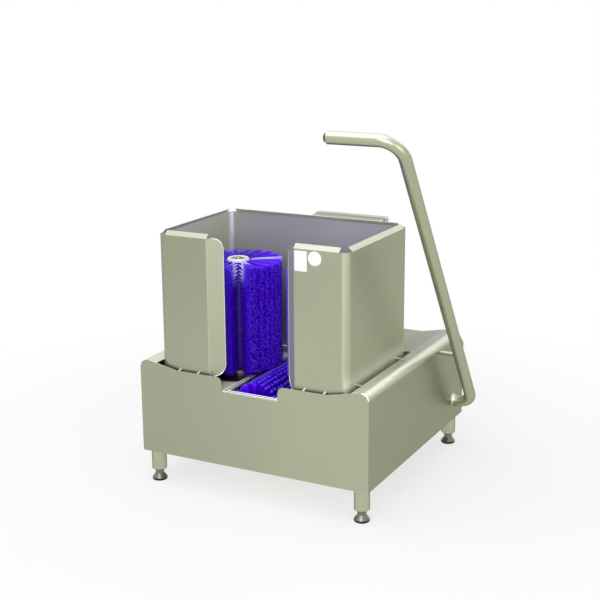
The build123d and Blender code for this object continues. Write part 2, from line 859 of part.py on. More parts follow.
# Roller bearings on the front panel and the bulkhead
with BuildPart() as roller_bearings:
    for y in (front_y + sheet, bulkhead_y - bearing_thick):
        block(
            (-bearing_half, y, roller_z - bearing_half),
            (bearing_half, y + bearing_thick, roller_z + bearing_half),
        )
    fillet(roller_bearings.edges().filter_by(Axis.Y), radius=edge_round)
    rod(roller_shaft_radius + run_gap, 0, roller_z, front_y, bulkhead_y, mode=Mode.SUBTRACT)
write(roller_bearings, "roller_bearings")

# Belts from the roller shaft to the cross shafts
belt_span = hypot(brush_x, cross_z - roller_z)
belt_radius = pulley_radius + run_gap
for name, side in sides.items():
    belt_angle = degrees(atan2(cross_z - roller_z, side * brush_x))
    with BuildPart() as belt:
        with BuildSketch(across(pulley_front[name] + belt_inset)):
            with Locations((side * brush_x / 2, (cross_z + roller_z) / 2)):
                SlotCenterToCenter(belt_span, 2 * (belt_radius + belt_thick), rotation=belt_angle)
                SlotCenterToCenter(belt_span, 2 * belt_radius, rotation=belt_angle, mode=Mode.SUBTRACT)
        extrude(amount=-(pulley_width - 2 * belt_inset))
    write(belt, f"{name}_belt")

# Gearbox, motor and their bracket
gearbox_low = roller_z - gearbox_half
motor_back = back_y - sheet - motor_back_gap
with BuildPart() as gearbox:
    block(
        (-gearbox_half, gearbox_y, gearbox_low),
        (gearbox_half, motor_y, roller_z + gearbox_half),
    )
    fillet(gearbox.edges().filter_by(Axis.Y), radius=edge_round)
    rod(
        roller_shaft_radius + run_gap,
        0,
        roller_z,
        gearbox_y,
        gearbox_y + gearbox_bore_depth,
        mode=Mode.SUBTRACT,
    )
write(gearbox, "gearbox")

with BuildPart() as motor:
    rod(motor_radius, 0, roller_z, motor_y, motor_back)
    rod(motor_radius + fan_cover_step, 0, roller_z, motor_back - fan_cover, motor_back)
    block(
        (-terminal_width / 2, motor_y + terminal_gap, roller_z),
        (
            terminal_width / 2,
            motor_back - fan_cover - terminal_gap,
            roller_z + motor_radius + terminal_height,
        ),
    )
write(motor, "motor")

with BuildPart() as motor_bracket:
    with BuildSketch(across(gearbox_y)):
        with BuildLine():
            Polyline(
                (-bracket_half, bay_floor + sheet),
                (-bracket_half, gearbox_low),
                (bracket_half, gearbox_low),
                (bracket_half, bay_floor + sheet),
            )
            offset(amount=bracket_thick, side=Side.RIGHT)
        make_face()
    extrude(amount=-gearbox_length)
write(motor_bracket, "motor_bracket")

# Water inlet, solenoid valve and spray pipe
valve_floor = bay_floor + sheet + inlet_flange
valve_top = valve_floor + valve_size[2]
with BuildPart() as water_inlet:
    post(inlet_flange_radius, water_x, water_y, bay_floor + sheet, valve_floor)
    post(inlet_radius, water_x, water_y, inlet_end, bay_floor + sheet)
    post(inlet_flange_radius, water_x, water_y, bay_floor - inlet_nut, bay_floor)
    post(inlet_bore, water_x, water_y, inlet_end, valve_floor, mode=Mode.SUBTRACT)
write(water_inlet, "water_inlet")

coil_y = water_y + valve_size[1] / 2
with BuildPart() as water_valve:
    with Locations((water_x, water_y + valve_size[1] / 4, valve_floor)):
        Box(*valve_size, align=(Align.CENTER, Align.CENTER, Align.MIN))
    post(valve_coil_radius, water_x, coil_y, valve_top, valve_top + valve_coil)
write(water_valve, "water_valve")

spray_y = (shroud_back + bulkhead_y) / 2
pipe_points = [
    (water_x, water_y, valve_top),
    (water_x, water_y, pipe_run_z),
    (water_x, spray_y, pipe_run_z),
    (water_x, spray_y, spray_z),
    (spray_half, spray_y, spray_z),
]
with BuildPart() as spray_pipe:
    with BuildLine() as pipe_path:
        FilletPolyline(*pipe_points, radius=pipe_bend)
    with BuildSketch(Plane(pipe_points[0])):
        Circle(pipe_radius)
    sweep(path=pipe_path.line)
    for nozzle in range(nozzle_count):
        nozzle_x = -spray_half + 2 * spray_half * nozzle / (nozzle_count - 1) - nozzle_radius
        rod(nozzle_radius, nozzle_x, spray_z, spray_y - nozzle_reach, spray_y)
write(spray_pipe, "spray_pipe")

# Handle: one bent tube from the right side panel up to the grip
leg_direction = Vector(0, grip_y - handle_foot_y, grip_z - handle_foot_z)
with BuildPart() as handle_tube:
    with BuildLine() as handle_path:
        FilletPolyline(
            (half_width, handle_foot_y, handle_foot_z),
            (handle_x, handle_foot_y, handle_foot_z),
            (handle_x, grip_y, grip_z),
            (grip_end_x, grip_y, grip_z),
            radius=[handle_foot_bend, grip_bend],
        )
    with BuildSketch(Plane((half_width, handle_foot_y, handle_foot_z), z_dir=(1, 0, 0))):
        Circle(handle_radius)
        Circle(handle_radius - handle_wall, mode=Mode.SUBTRACT)
    sweep(path=handle_path.line)
write(handle_tube, "handle_tube")

# Flat stay from the side panel to the handle
stay_z = wall_top - stay_thick / 2
stay_along = (stay_z - handle_foot_z) / (grip_z - handle_foot_z)
stay_y = handle_foot_y + stay_along * (grip_y - handle_foot_y)
with BuildPart() as handle_stay:
    block(
        (half_width, stay_y - stay_width / 2, stay_z - stay_thick / 2),
        (handle_x, stay_y + stay_width / 2, stay_z + stay_thick / 2),
    )
    with BuildSketch(Plane((handle_x, stay_y, stay_z), z_dir=leg_direction)):
        Circle(handle_radius + weld_gap)
    extrude(amount=2 * stay_width, both=True, mode=Mode.SUBTRACT)
write(handle_stay, "handle_stay")

# Push button with its guide and switch in the end of the grip
tube_inside = handle_radius - handle_wall - weld_gap
button_radius = tube_inside - button_wall - run_gap
head_back = grip_end_x + button_in
recess_back = head_back + button_travel + button_in
guide_back = grip_end_x + guide_length
with BuildPart() as button_guide:
    peg(tube_inside, grip_y, grip_z, grip_end_x, guide_back)
    peg(button_radius + run_gap, grip_y, grip_z, grip_end_x, recess_back, mode=Mode.SUBTRACT)
    peg(button_stem_radius + run_gap, grip_y, grip_z, grip_end_x, guide_back, mode=Mode.SUBTRACT)
write(button_guide, "button_guide")

with BuildPart() as handle_button:
    peg(button_radius, grip_y, grip_z, grip_end_x - button_out, head_back)
    fillet(handle_button.faces().sort_by(Axis.X)[0].edges(), radius=button_round)
    peg(button_stem_radius, grip_y, grip_z, head_back, head_back + button_stem)
write(handle_button, "handle_button")

with BuildPart() as button_switch:
    peg(tube_inside, grip_y, grip_z, guide_back, guide_back + switch_length)
write(button_switch, "button_switch")

# Control box, lid, relay block, cable gland and conduit
box_right = box_left + box_width
box_back = shroud_back + box_depth
box_top = box_bottom + box_height
gland_x = box_left + box_width / 2 - conduit_inset
lid_screws = [
    (x, z)
    for x in (box_left + lid_screw_inset, box_right - lid_screw_inset)
    for z in (box_bottom + lid_screw_inset, box_top - lid_screw_inset)
]
with BuildPart() as control_box:
    block((box_left, shroud_back, box_bottom), (box_right, box_back, box_top))
    fillet(control_box.edges().filter_by(Axis.Y), radius=2 * sheet)
    block(
        (box_left + sheet, shroud_back + sheet, box_bottom + sheet),
        (box_right - sheet, box_back - sheet, box_top - sheet),
        mode=Mode.SUBTRACT,
    )
    block(
        (box_left + box_flange, shroud_back + sheet, box_bottom + box_flange),
        (box_right - box_flange, box_back, box_top - box_flange),
        mode=Mode.SUBTRACT,
    )
    for x, z in lid_screws:
        rod(screw_radius + weld_gap, x, z, box_back - 2 * sheet, box_back, mode=Mode.SUBTRACT)
    post(gland_thread_radius + weld_gap, gland_x, conduit_y, 0, box_bottom + 2 * sheet, mode=Mode.SUBTRACT)
    post(conduit_radius - conduit_wall, conduit_x, conduit_y, 0, box_bottom + 2 * sheet, mode=Mode.SUBTRACT)
write(control_box, "control_box")

lid_out = sheet + lid_lap_gap
with BuildPart() as control_box_lid:
    block(
        (box_left - lid_out, box_back - lid_rim, box_bottom - lid_out),
        (box_right + lid_out, box_back + sheet, box_top + lid_out),
    )
    fillet(control_box_lid.edges().filter_by(Axis.Y), radius=2 * sheet)
    block(
        (box_left - lid_lap_gap, box_back - lid_rim, box_bottom - lid_lap_gap),
        (box_right + lid_lap_gap, box_back, box_top + lid_lap_gap),
        mode=Mode.SUBTRACT,
    )
    for x, z in lid_screws:
        rod(screw_radius + weld_gap, x, z, box_back, box_back + sheet, mode=Mode.SUBTRACT)
write(control_box_lid, "control_box_lid")

with BuildPart() as relay_block:
    with Locations((box_left + box_width / 2, shroud_back + sheet, box_bottom + box_height / 2)):
        Box(*relay_size, align=(Align.CENTER, Align.MIN, Align.CENTER))
    fillet(relay_block.edges().filter_by(Axis.Y), radius=sheet)
write(relay_block, "relay_block")

with BuildPart() as cable_gland:
    with BuildSketch(Plane((gland_x, conduit_y, box_bottom - gland_height))):
        RegularPolygon(gland_radius, 6)
    extrude(amount=gland_height)
    fillet(cable_gland.faces().sort_by(Axis.Z)[0].edges(), radius=sheet)
    post(gland_thread_radius, gland_x, conduit_y, box_bottom, box_bottom + sheet + gland_inside)
    post(gland_thread_radius / 2, gland_x, conduit_y, 0, box_top, mode=Mode.SUBTRACT)
write(cable_gland, "cable_gland")

with BuildPart() as cable_conduit:
    post(conduit_radius, conduit_x, conduit_y, deck_height, box_bottom)
    post(conduit_radius - conduit_wall, conduit_x, conduit_y, deck_height, box_bottom, mode=Mode.SUBTRACT)
write(cable_conduit, "cable_conduit")

# Hexagon screws of the floor bearings and of the lid
with BuildPart() as hex_screws:
    for side in sides.values():
        with BuildSketch(Plane((side * brush_x, brush_y, bearing_top))):
            with PolarLocations(screw_circle, 4):
                RegularPolygon(screw_head_radius, 6)
        extrude(amount=screw_head)
        with BuildSketch(Plane((side * brush_x, brush_y, floor_under))):
            with PolarLocations(screw_circle, 4):
                Circle(screw_radius)
        extrude(amount=bearing_top - floor_under)
    with BuildSketch(across(box_back + sheet)):
        with Locations(*lid_screws):
            RegularPolygon(screw_head_radius, 6)
    extrude(amount=-screw_head)
    with BuildSketch(across(box_back - sheet)):
        with Locations(*lid_screws):
            Circle(screw_radius)
    extrude(amount=-2 * sheet)
write(hex_screws, "hex_screws")
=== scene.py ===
import math
import random

import bmesh
import bpy
from mathutils import Matrix, Vector


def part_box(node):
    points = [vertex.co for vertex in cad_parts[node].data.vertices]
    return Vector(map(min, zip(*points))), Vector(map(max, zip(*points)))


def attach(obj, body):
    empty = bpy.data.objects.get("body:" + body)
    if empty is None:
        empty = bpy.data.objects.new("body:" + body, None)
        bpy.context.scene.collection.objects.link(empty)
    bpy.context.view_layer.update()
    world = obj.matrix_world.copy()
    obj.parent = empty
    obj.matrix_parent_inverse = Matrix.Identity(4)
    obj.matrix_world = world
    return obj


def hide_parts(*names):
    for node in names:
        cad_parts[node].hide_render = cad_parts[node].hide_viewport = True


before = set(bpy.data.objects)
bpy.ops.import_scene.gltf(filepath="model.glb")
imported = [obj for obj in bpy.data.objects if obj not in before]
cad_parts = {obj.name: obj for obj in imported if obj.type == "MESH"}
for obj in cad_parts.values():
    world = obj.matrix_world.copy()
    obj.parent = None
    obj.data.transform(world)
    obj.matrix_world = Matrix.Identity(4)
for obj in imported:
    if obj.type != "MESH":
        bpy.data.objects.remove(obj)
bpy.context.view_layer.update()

# Viewpoint: the washer is seen from the right of its front and a little from above, with a long
# lens, so that its upright edges stay nearly parallel.
eye = Vector((1.50521, -3.01227, 1.37585))
view_azimuth = math.radians(27.546)
view_elevation = math.radians(14.632)
view_roll = math.radians(-0.3736)
lens_length = 72.71
film_width = 36.0

level_right = Vector((math.cos(view_azimuth), math.sin(view_azimuth), 0))
backward = Vector((
    math.sin(view_azimuth) * math.cos(view_elevation),
    -math.cos(view_azimuth) * math.cos(view_elevation),
    math.sin(view_elevation),
))
level_up = backward.cross(level_right)
view_right = level_right * math.cos(view_roll) + level_up * math.sin(view_roll)
view_up = level_up * math.cos(view_roll) - level_right * math.sin(view_roll)
view_turn = Matrix((view_right, view_up, backward)).transposed().to_4x4()

camera = bpy.data.objects.new("camera", bpy.data.cameras.new("camera"))
camera.data.lens = lens_length
camera.data.sensor_width = film_width
camera.matrix_world = Matrix.Translation(eye) @ view_turn
bpy.context.scene.collection.objects.link(camera)
bpy.context.scene.camera = camera
bpy.context.scene.view_settings.view_transform = "Standard"

# Floor and light: a pale floor that fades into a white room, with large soft lamps overhead,
# behind, at the right and at the front, as round a packshot table.
floor_half = 14.0
floor_white = (0.8, 0.8, 0.8, 1)
floor_roughness = 1.0
floor_shine = 0.0
near_glow = 0.7
fade_start = 0.5
fade_end = 1.7
room_white = (1, 1, 1, 1)
room_fill = 0.42


class Shade:
    """A socket of a finish, on which plain sums can be written."""

    def __init__(self, tree, socket):
        self.tree = tree
        self.socket = socket

    def node(self, kind, settings, sockets, output=0):
        """Add a node with its settings and its socket values or links."""
        made = self.tree.nodes.new(kind)
        for key, value in settings.items():
            setattr(made, key, value)
        for key, value in sockets.items():
            if isinstance(value, Shade):
                self.tree.links.new(value.socket, made.inputs[key])
            else:
                made.inputs[key].default_value = value
        return Shade(self.tree, made.outputs[output])

    def math(self, operation, first, second):
        return self.node("ShaderNodeMath", {"operation": operation}, {0: first, 1: second})

    def __add__(self, other):
        return self.math("ADD", self, other)

    __radd__ = __add__

    def __sub__(self, other):
        return self.math("SUBTRACT", self, other)

    def __rsub__(self, other):
        return self.math("SUBTRACT", other, self)

    def __mul__(self, other):
        return self.math("MULTIPLY", self, other)

    __rmul__ = __mul__

    def stretched(self, scale, shift=(0, 0, 0)):
        """These coordinates, scaled and then moved."""
        return self.node("ShaderNodeMapping", {}, {"Vector": self, "Location": shift, "Scale": scale})

    def noise(self, scale, detail=3.0):
        """A soft random value between nought and one at these coordinates."""
        return self.node("ShaderNodeTexNoise", {}, {"Vector": self, "Scale": scale, "Detail": detail})

    def length(self):
        return self.node("ShaderNodeVectorMath", {"operation": "LENGTH"}, {0: self}, output=1)

    def size(self):
        """This value without its sign."""
        return self.math("ABSOLUTE", self, 0)

    def dot(self, other):
        """How far these coordinates reach along a direction."""
        settings = {"operation": "DOT_PRODUCT"}
        return self.node("ShaderNodeVectorMath", settings, {0: self, 1: other}, output=1)

    def step(self, start, end):
        """A smooth rise from nought to one as this value goes from start to end."""
        sockets = {"Value": self, "From Min": start, "From Max": end}
        return self.node("ShaderNodeMapRange", {"interpolation_type": "SMOOTHSTEP"}, sockets)

    def mix(self, first, second):
        """Colour between two others, with this value as the share of the second."""
        colours = [each if isinstance(each, Shade) else (*each, 1) for each in (first, second)]
        sockets = {0: self, 6: colours[0], 7: colours[1]}
        return self.node("ShaderNodeMix", {"data_type": "RGBA"}, sockets, output=2)

    def part(self, axis):
        """One of the three values of these coordinates."""
        return self.node("ShaderNodeSeparateXYZ", {}, {0: self}, output="XYZ".index(axis))

    def feed(self, socket):
        self.tree.links.new(self.socket, socket)


def seen_directly(tree):
    """One for what is seen, also in reflections, and nought for the light that falls on a surface."""
    path = tree.nodes.new("ShaderNodeLightPath")
    kinds = ("Camera", "Glossy", "Transmission")
    looks = [Shade(tree, path.outputs[f"Is {kind} Ray"]) for kind in kinds]
    either = looks[0].math("MAXIMUM", looks[0], looks[1])
    return either.math("MAXIMUM", either, looks[2])


room = bpy.data.worlds.new("room")
room.use_nodes = True
bpy.context.scene.world = room
backdrop = room.node_tree.nodes["Background"]
backdrop.inputs["Color"].default_value = room_white
(room_fill + (1 - room_fill) * seen_directly(room.node_tree)).feed(backdrop.inputs["Strength"])

floor_mesh = bpy.data.meshes.new("floor")
floor_form = bmesh.new()
bmesh.ops.create_grid(floor_form, x_segments=1, y_segments=1, size=floor_half)
floor_form.to_mesh(floor_mesh)
floor_form.free()
floor = bpy.data.objects.new("floor", floor_mesh)
bpy.context.scene.collection.objects.link(floor)

floor_finish = bpy.data.materials.new("floor_finish")
floor_finish.use_nodes = True
floor_tree = floor_finish.node_tree
floor_shader = floor_tree.nodes["Principled BSDF"]
floor_shader.inputs["Base Color"].default_value = floor_white
floor_shader.inputs["Roughness"].default_value = floor_roughness
floor_shader.inputs["Specular IOR Level"].default_value = floor_shine
floor_place = Shade(floor_tree, floor_tree.nodes.new("ShaderNodeTexCoord").outputs["Object"])
away = floor_place.length().step(fade_start, fade_end)
share = (near_glow + (1 - near_glow) * away) * seen_directly(floor_tree)
lit = Shade(floor_tree, floor_shader.outputs[0])
glow = share.node("ShaderNodeEmission", {}, {"Color": room_white, "Strength": 1.0})
floor_look = share.node("ShaderNodeMixShader", {}, {0: share, 1: lit, 2: glow})
floor_look.feed(floor_tree.nodes["Material Output"].inputs["Surface"])
floor_mesh.materials.append(floor_finish)


def soft_lamp(name, place, aim, size, power):
    lamp = bpy.data.lights.new(name, "AREA")
    lamp.size = size
    lamp.energy = power
    holder = bpy.data.objects.new(name, lamp)
    holder.location = place
    holder.rotation_euler = (Vector(aim) - Vector(place)).to_track_quat("-Z", "Y").to_euler()
    holder.visible_camera = False
    bpy.context.scene.collection.objects.link(holder)


soft_lamp("overhead_lamp", place=(-0.8, -0.8, 3.2), aim=(0, -0.1, 0.4), size=2.8, power=50)
soft_lamp("back_lamp", place=(0.7, 3.3, 2.1), aim=(0, 0, 0.5), size=2.4, power=36)
soft_lamp("right_lamp", place=(3.2, -1.9, 1.4), aim=(0, 0, 0.5), size=2.0, power=24)
soft_lamp("front_lamp", place=(0.8, -3.4, 2.3), aim=(0, 0, 0.5), size=2.2, power=60)

# Base panels: stainless sheet, folded at the ridges and welded into a square tub. The surface is
# satin, with a fine even grain, faint clouds in its tone and the marks of wiping.
steel = (0.460, 0.470, 0.342)
painted_shade_steel = (0.322, 0.329, 0.239)
dust = (0.43, 0.43, 0.395)
edge_tint = (0.55, 0.55, 0.5, 1)
sheet_roughness = 0.42
upright_grain = (1.0, 1.0, 0.05)
level_grain = (0.05, 0.05, 1.0)
no_grain = (1.0, 1.0, 1.0)
grain_depth = 0.0004
cloud_dark = 0.88
wipe_shape = (2.0, 2.0, 9.0)
streak_matt = 0.08
wipe_matt = 0.10

# Each pair here is the two values between which a cover fades in or out.
dust_share = 0.8
dust_tilt = (0.35, 0.85)
left_share = 0.45
left_run = (-0.34, 0.21)
high_share = 0.35
high_run = (0.36, 0.72)
slant_start = (0.1, 0.4)
slant_end = (0.85, 0.98)
level_tilt = (0.3, 0.6)
bend_share = 0.7
bend_tilt = (0.03, 0.4)
deck_run = (-0.26, 0.02)

handle_radius = 0.01685
handle_foot = Vector((
    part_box("right_side_panel")[1].x,
    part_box("handle_tube")[1].y - handle_radius,
    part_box("handle_tube")[0].z + handle_radius,
))
foot_highlight_offset = Vector((0.005, -0.012, 0.013))
foot_highlight_run = (0.003, 0.019)


def new_finish(name, colour, roughness, metallic=0.0):
    """A finish with its even values set, its sockets, and the place on the piece to work from."""
    finish = bpy.data.materials.new(name)
    finish.use_nodes = True
    tree = finish.node_tree
    sockets = tree.nodes["Principled BSDF"].inputs
    sockets["Base Color"].default_value = (*colour, 1)
    sockets["Roughness"].default_value = roughness
    sockets["Metallic"].default_value = metallic
    return finish, sockets, Shade(tree, tree.nodes.new("ShaderNodeTexCoord").outputs["Object"])


def facing(place):
    """Direction in which the surface looks at each place."""
    return Shade(place.tree, place.socket.node.outputs["Normal"])


def upward(place):
    """Most of the way to one on faces that look up, where dust settles and some highlights are
    painted.
    """
    return dust_share * facing(place).part("Z").step(*dust_tilt)


def painted_shade_left_high(place):
    """Higher to the left and the top of the washer, where darker steel is painted in as shade."""
    left = 1 - place.part("X").step(*left_run)
    high = place.part("Z").step(*high_run)
    rightward = facing(place).part("X")
    slanted = rightward.step(*slant_start) * (1 - rightward.step(*slant_end))
    level = facing(place).part("Z").step(*level_tilt)
    return (left_share * left + high_share * high) * (1 - slanted * (1 - level))


def ridge_highlight(place):
    """Rises on the bend between a wall and the deck, where a highlight is painted in."""
    return bend_share * facing(place).part("Z").step(*bend_tilt)


def painted_light_deck_front(place):
    """Most of the way to one on the deck beside the shroud, towards the front, where light is painted
    in.
    """
    return upward(place) * (1 - place.part("Y").step(*deck_run))


def foot_highlight(place):
    """One on top of the welded foot of the handle, where a white highlight is painted in."""
    spot = handle_foot + foot_highlight_offset
    return 1 - place.stretched((1, 1, 1), -spot).length().step(*foot_highlight_run)


def layer(cover, colour, matt):
    """What lies on a finish: where it covers it, its colour, and how far it takes the gloss away."""
    return cover, colour, matt


def satin_steel(name, colour, roughness, grain, relief=0.05, edges=edge_tint, layers=()):
    """Stainless steel with a grain drawn out along one axis, soft clouds and dry wipe marks."""
    finish, sockets, place = new_finish(name, colour, roughness, metallic=1.0)
    sockets["Specular Tint"].default_value = edges
    streaks = place.stretched(grain).noise(scale=800.0)
    clouds = place.noise(scale=4.0, detail=5.0)
    wipes = place.stretched(wipe_shape).noise(scale=3.0, detail=6.0)
    tone = clouds.mix([value * cloud_dark for value in colour], colour)
    gloss = None
    for cover, layer_colour, layer_matt in layers:
        share = cover(place)
        tone = share.mix(tone, layer_colour)
        kept = 1 - layer_matt * share
        gloss = kept if gloss is None else gloss.math("MINIMUM", gloss, kept)
    tone.feed(sockets["Base Color"])
    if gloss is not None:
        gloss.feed(sockets["Metallic"])
    matt_middle = (streak_matt + wipe_matt) / 2
    (roughness + streak_matt * streaks + wipe_matt * wipes - matt_middle).feed(sockets["Roughness"])
    bump_sockets = {"Height": streaks, "Strength": relief, "Distance": grain_depth}
    place.node("ShaderNodeBump", {}, bump_sockets).feed(sockets["Normal"])
    return finish


def dress(finish, *names):
    """Give CAD pieces a finish in place of their plain one."""
    for name in names:
        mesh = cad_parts[name].data
        mesh.materials.clear()
        mesh.materials.append(finish)


dusty = layer(upward, dust, matt=0.5)
# Painted shade: a duller steel tone over the left and the top of the washer.
painted_shade_layer = layer(painted_shade_left_high, painted_shade_steel, matt=0.0)
deck_dust = (0.36, 0.36, 0.32)
panel_layers = (painted_shade_layer, layer(upward, deck_dust, matt=0.5))
panel_finish = satin_steel("satin_panel", steel, sheet_roughness, level_grain, layers=panel_layers)
dress(panel_finish, "rear_panel", "rear_deck")
dress(panel_finish, "bulkhead", "bottom_plate", "corner_plates")

# Painted highlight: the upward cut edges of the front panel are near-white.
painted_cut_highlight = (0.95, 0.95, 0.92)
front_layers = (painted_shade_layer, layer(upward, painted_cut_highlight, matt=0.5))
front_finish = satin_steel("satin_front", steel, sheet_roughness, level_grain, layers=front_layers)
dress(front_finish, "front_panel")

# Painted shade: the side panels, the stay and the weld take a darker copy of the steel tone.
shaded_side_steel = (0.395, 0.404, 0.290)
# Painted highlight: a paler steel tone on the ridge bends, and on the small plates.
painted_highlight_steel = (0.60, 0.61, 0.47)
# Painted light: a pale tone on the deck beside the shroud, towards the front.
painted_deck_light = (0.78, 0.79, 0.64)
# Painted highlight: a soft white spot on top of the handle's foot weld, spreading on panel and tube.
painted_foot_highlight = (0.92, 0.92, 0.86)
weld_painted_highlight = layer(foot_highlight, painted_foot_highlight, matt=0.6)
side_layers = (
    layer(ridge_highlight, painted_highlight_steel, matt=0.35),
    dusty,
    layer(painted_light_deck_front, painted_deck_light, matt=0.7),
    weld_painted_highlight,
)
side_finish = satin_steel("satin_side", shaded_side_steel, sheet_roughness, level_grain, layers=side_layers)
dress(side_finish, "left_side_panel", "right_side_panel")

# Legs and feet: round tubes with turned end plugs, and levelling feet that screw up into them.
# The feet are bright turned steel on a dark rim.
tube_roughness = 0.30
tube_steel = (0.50, 0.51, 0.36)
# Painted shade: a dark edge tint darkens the sides of the tubes.
tube_painted_edge_shade = (0.25, 0.25, 0.22, 1)
tube_finish = satin_steel("satin_tube", tube_steel, tube_roughness, level_grain, edges=tube_painted_edge_shade)
dress(tube_finish, "legs", "leg_plugs")

foot_steel = (0.20, 0.20, 0.165)
foot_dark = (0.025, 0.025, 0.022)
foot_roughness = 0.28
foot_spread = 0.12
foot_rim_run = (0.005, 0.009)


def vary_gloss(sockets, roughness, spread, pattern):
    """Let the roughness follow a pattern, to both sides of its middle value."""
    (roughness - spread / 2 + spread * pattern).feed(sockets["Roughness"])


foot_finish, foot_sockets, foot_place = new_finish(
    "turned_foot",
    foot_steel,
    foot_roughness,
    metallic=1.0,
)
foot_place.part("Z").step(*foot_rim_run).mix(foot_dark, foot_steel).feed(foot_sockets["Base Color"])
turning = foot_place.stretched(level_grain).noise(scale=900.0)
vary_gloss(foot_sockets, foot_roughness, foot_spread, turning)
feet = [f"{corner}_foot" for corner in ("front_left", "front_right", "rear_left", "rear_right")]
dress(foot_finish, *feet)

# Well: the floor plate with its slot and polished rim, and the sump pan and outlet under it, all
# of stainless sheet that is mostly wet.
wet_roughness = 0.30
scale_white = (0.93, 0.94, 0.70)
painted_shadow_dark = (0.02, 0.02, 0.018)
polished = (0.62, 0.62, 0.56)
polished_roughness = 0.22
highlight_edge_steel = (0.95, 0.95, 0.92)
edge_roughness = 0.18
rim_dull = (0.50, 0.50, 0.42)
painted_edge_white = (0.98, 0.98, 0.95)
rim_band = 0.014
rim_sill = 0.013
edge_width = 0.0034
edge_rise = 0.0013
edge_round = 0.001105
smooth_limit = math.radians(35)
patch_thin = 0.6
patch_gain = 0.5
whole_thin = 0.9
whole_gain = 0.1
shadow_inner = 0.9
shadow_outer = 1.01


def half_width(node):
    low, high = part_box(node)
    return (high.x - low.x) / 2


def middle_of(node):
    low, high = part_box(node)
    return (low + high) / 2


def in_patches(place):
    """A cover that lies thicker in some places than in others."""
    return patch_thin + patch_gain * place.noise(scale=14.0, detail=5.0)


def everywhere(place):
    """A cover that is nearly whole."""
    return whole_thin + whole_gain * place.noise(scale=60.0)


def painted_shadow_under_brushes(place):
    """One on the floor under the two upright brushes, where a dark shadow is painted in."""
    gaps = []
    for side in ("left", "right"):
        axis = middle_of(f"{side}_brush_core")
        gaps.append(place.stretched((1, 1, 0), (-axis.x, -axis.y, 0)).length())
    radius = half_width("left_brush_bristles")
    return 1 - gaps[0].math("MINIMUM", *gaps).step(shadow_inner * radius, shadow_outer * radius)


def add_piece(name, form, finish, body):
    """Turn a finished form into a piece that rides on a body."""
    mesh = bpy.data.meshes.new(name)
    form.to_mesh(mesh)
    form.free()
    mesh.materials.append(finish)
    piece = bpy.data.objects.new(name, mesh)
    bpy.context.scene.collection.objects.link(piece)
    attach(piece, body)
    return piece


def thicken(form, rise):
    """Give flat faces a thickness upwards."""
    grown = bmesh.ops.extrude_face_region(form, geom=form.faces[:])["geom"]
    raised = [part for part in grown if isinstance(part, bmesh.types.BMVert)]
    bmesh.ops.translate(form, verts=raised, vec=(0, 0, rise))
    bmesh.ops.recalc_face_normals(form, faces=form.faces)


def soften(form):
    """Shade the round faces of a form smoothly and keep its corners crisp."""
    for face in form.faces:
        face.smooth = True
    for edge in form.edges:
        edge.smooth = edge.calc_face_angle(0) < smooth_limit


def edge_strip(low, high):
    """A narrow raised edge round a rectangle, on top of the rim."""
    form = bmesh.new()
    bmesh.ops.create_grid(form, x_segments=1, y_segments=1, size=0.5)
    bmesh.ops.scale(form, verts=form.verts, vec=(high.x - low.x, high.y - low.y, 1))
    middle = (low + high) / 2
    bmesh.ops.translate(form, verts=form.verts, vec=(middle.x, middle.y, high.z))
    opening = form.faces[:]
    bmesh.ops.inset_region(
        form,
        faces=opening,
        thickness=edge_width,
        use_boundary=True,
        use_even_offset=True,
    )
    bmesh.ops.delete(form, geom=opening, context="FACES")
    thicken(form, edge_rise)
    half_up = high.z + edge_rise / 2
    crests = [edge for edge in form.edges if min(end.co.z for end in edge.verts) > half_up]
    bmesh.ops.bevel(
        form,
        geom=crests,
        offset=edge_round,
        segments=4,
        profile=0.5,
        affect="EDGES",
        material=-1,
    )
    soften(form)
    return form


limed = layer(in_patches, scale_white, matt=0.95)
well_finish = satin_steel("wet_sheet", steel, wet_roughness, level_grain, layers=(limed,))
dress(well_finish, "sump_pan", "drain_outlet")
# Painted shadow: the floor under the upright brushes is nearly black.
shelf_layers = (limed, layer(painted_shadow_under_brushes, painted_shadow_dark, matt=0.0))
shelf_finish = satin_steel("wet_shelf", steel, wet_roughness, level_grain, layers=shelf_layers)
dress(shelf_finish, "floor_plate")
rim_layers = (layer(in_patches, rim_dull, matt=0.8),)
rim_finish = satin_steel("polished_rim", polished, polished_roughness, level_grain, layers=rim_layers)
dress(rim_finish, "slot_rim")

# Painted highlight: the raised edges of the rim are near-white all over.
rim_edge_layers = (layer(everywhere, painted_edge_white, matt=1.0),)
rim_edge_finish = satin_steel(
    "painted_white_edge",
    highlight_edge_steel,
    edge_roughness,
    no_grain,
    layers=rim_edge_layers,
)
rim_low, rim_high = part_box("slot_rim")
slot_low = rim_low + Vector((rim_band - edge_width, rim_sill - edge_width, 0))
slot_high = rim_high - Vector((rim_band - edge_width, rim_band - edge_width, 0))
add_piece("rim_outer_edge", edge_strip(rim_low, rim_high), rim_edge_finish, "washer")
add_piece("rim_inner_edge", edge_strip(slot_low, slot_high), rim_edge_finish, "washer")

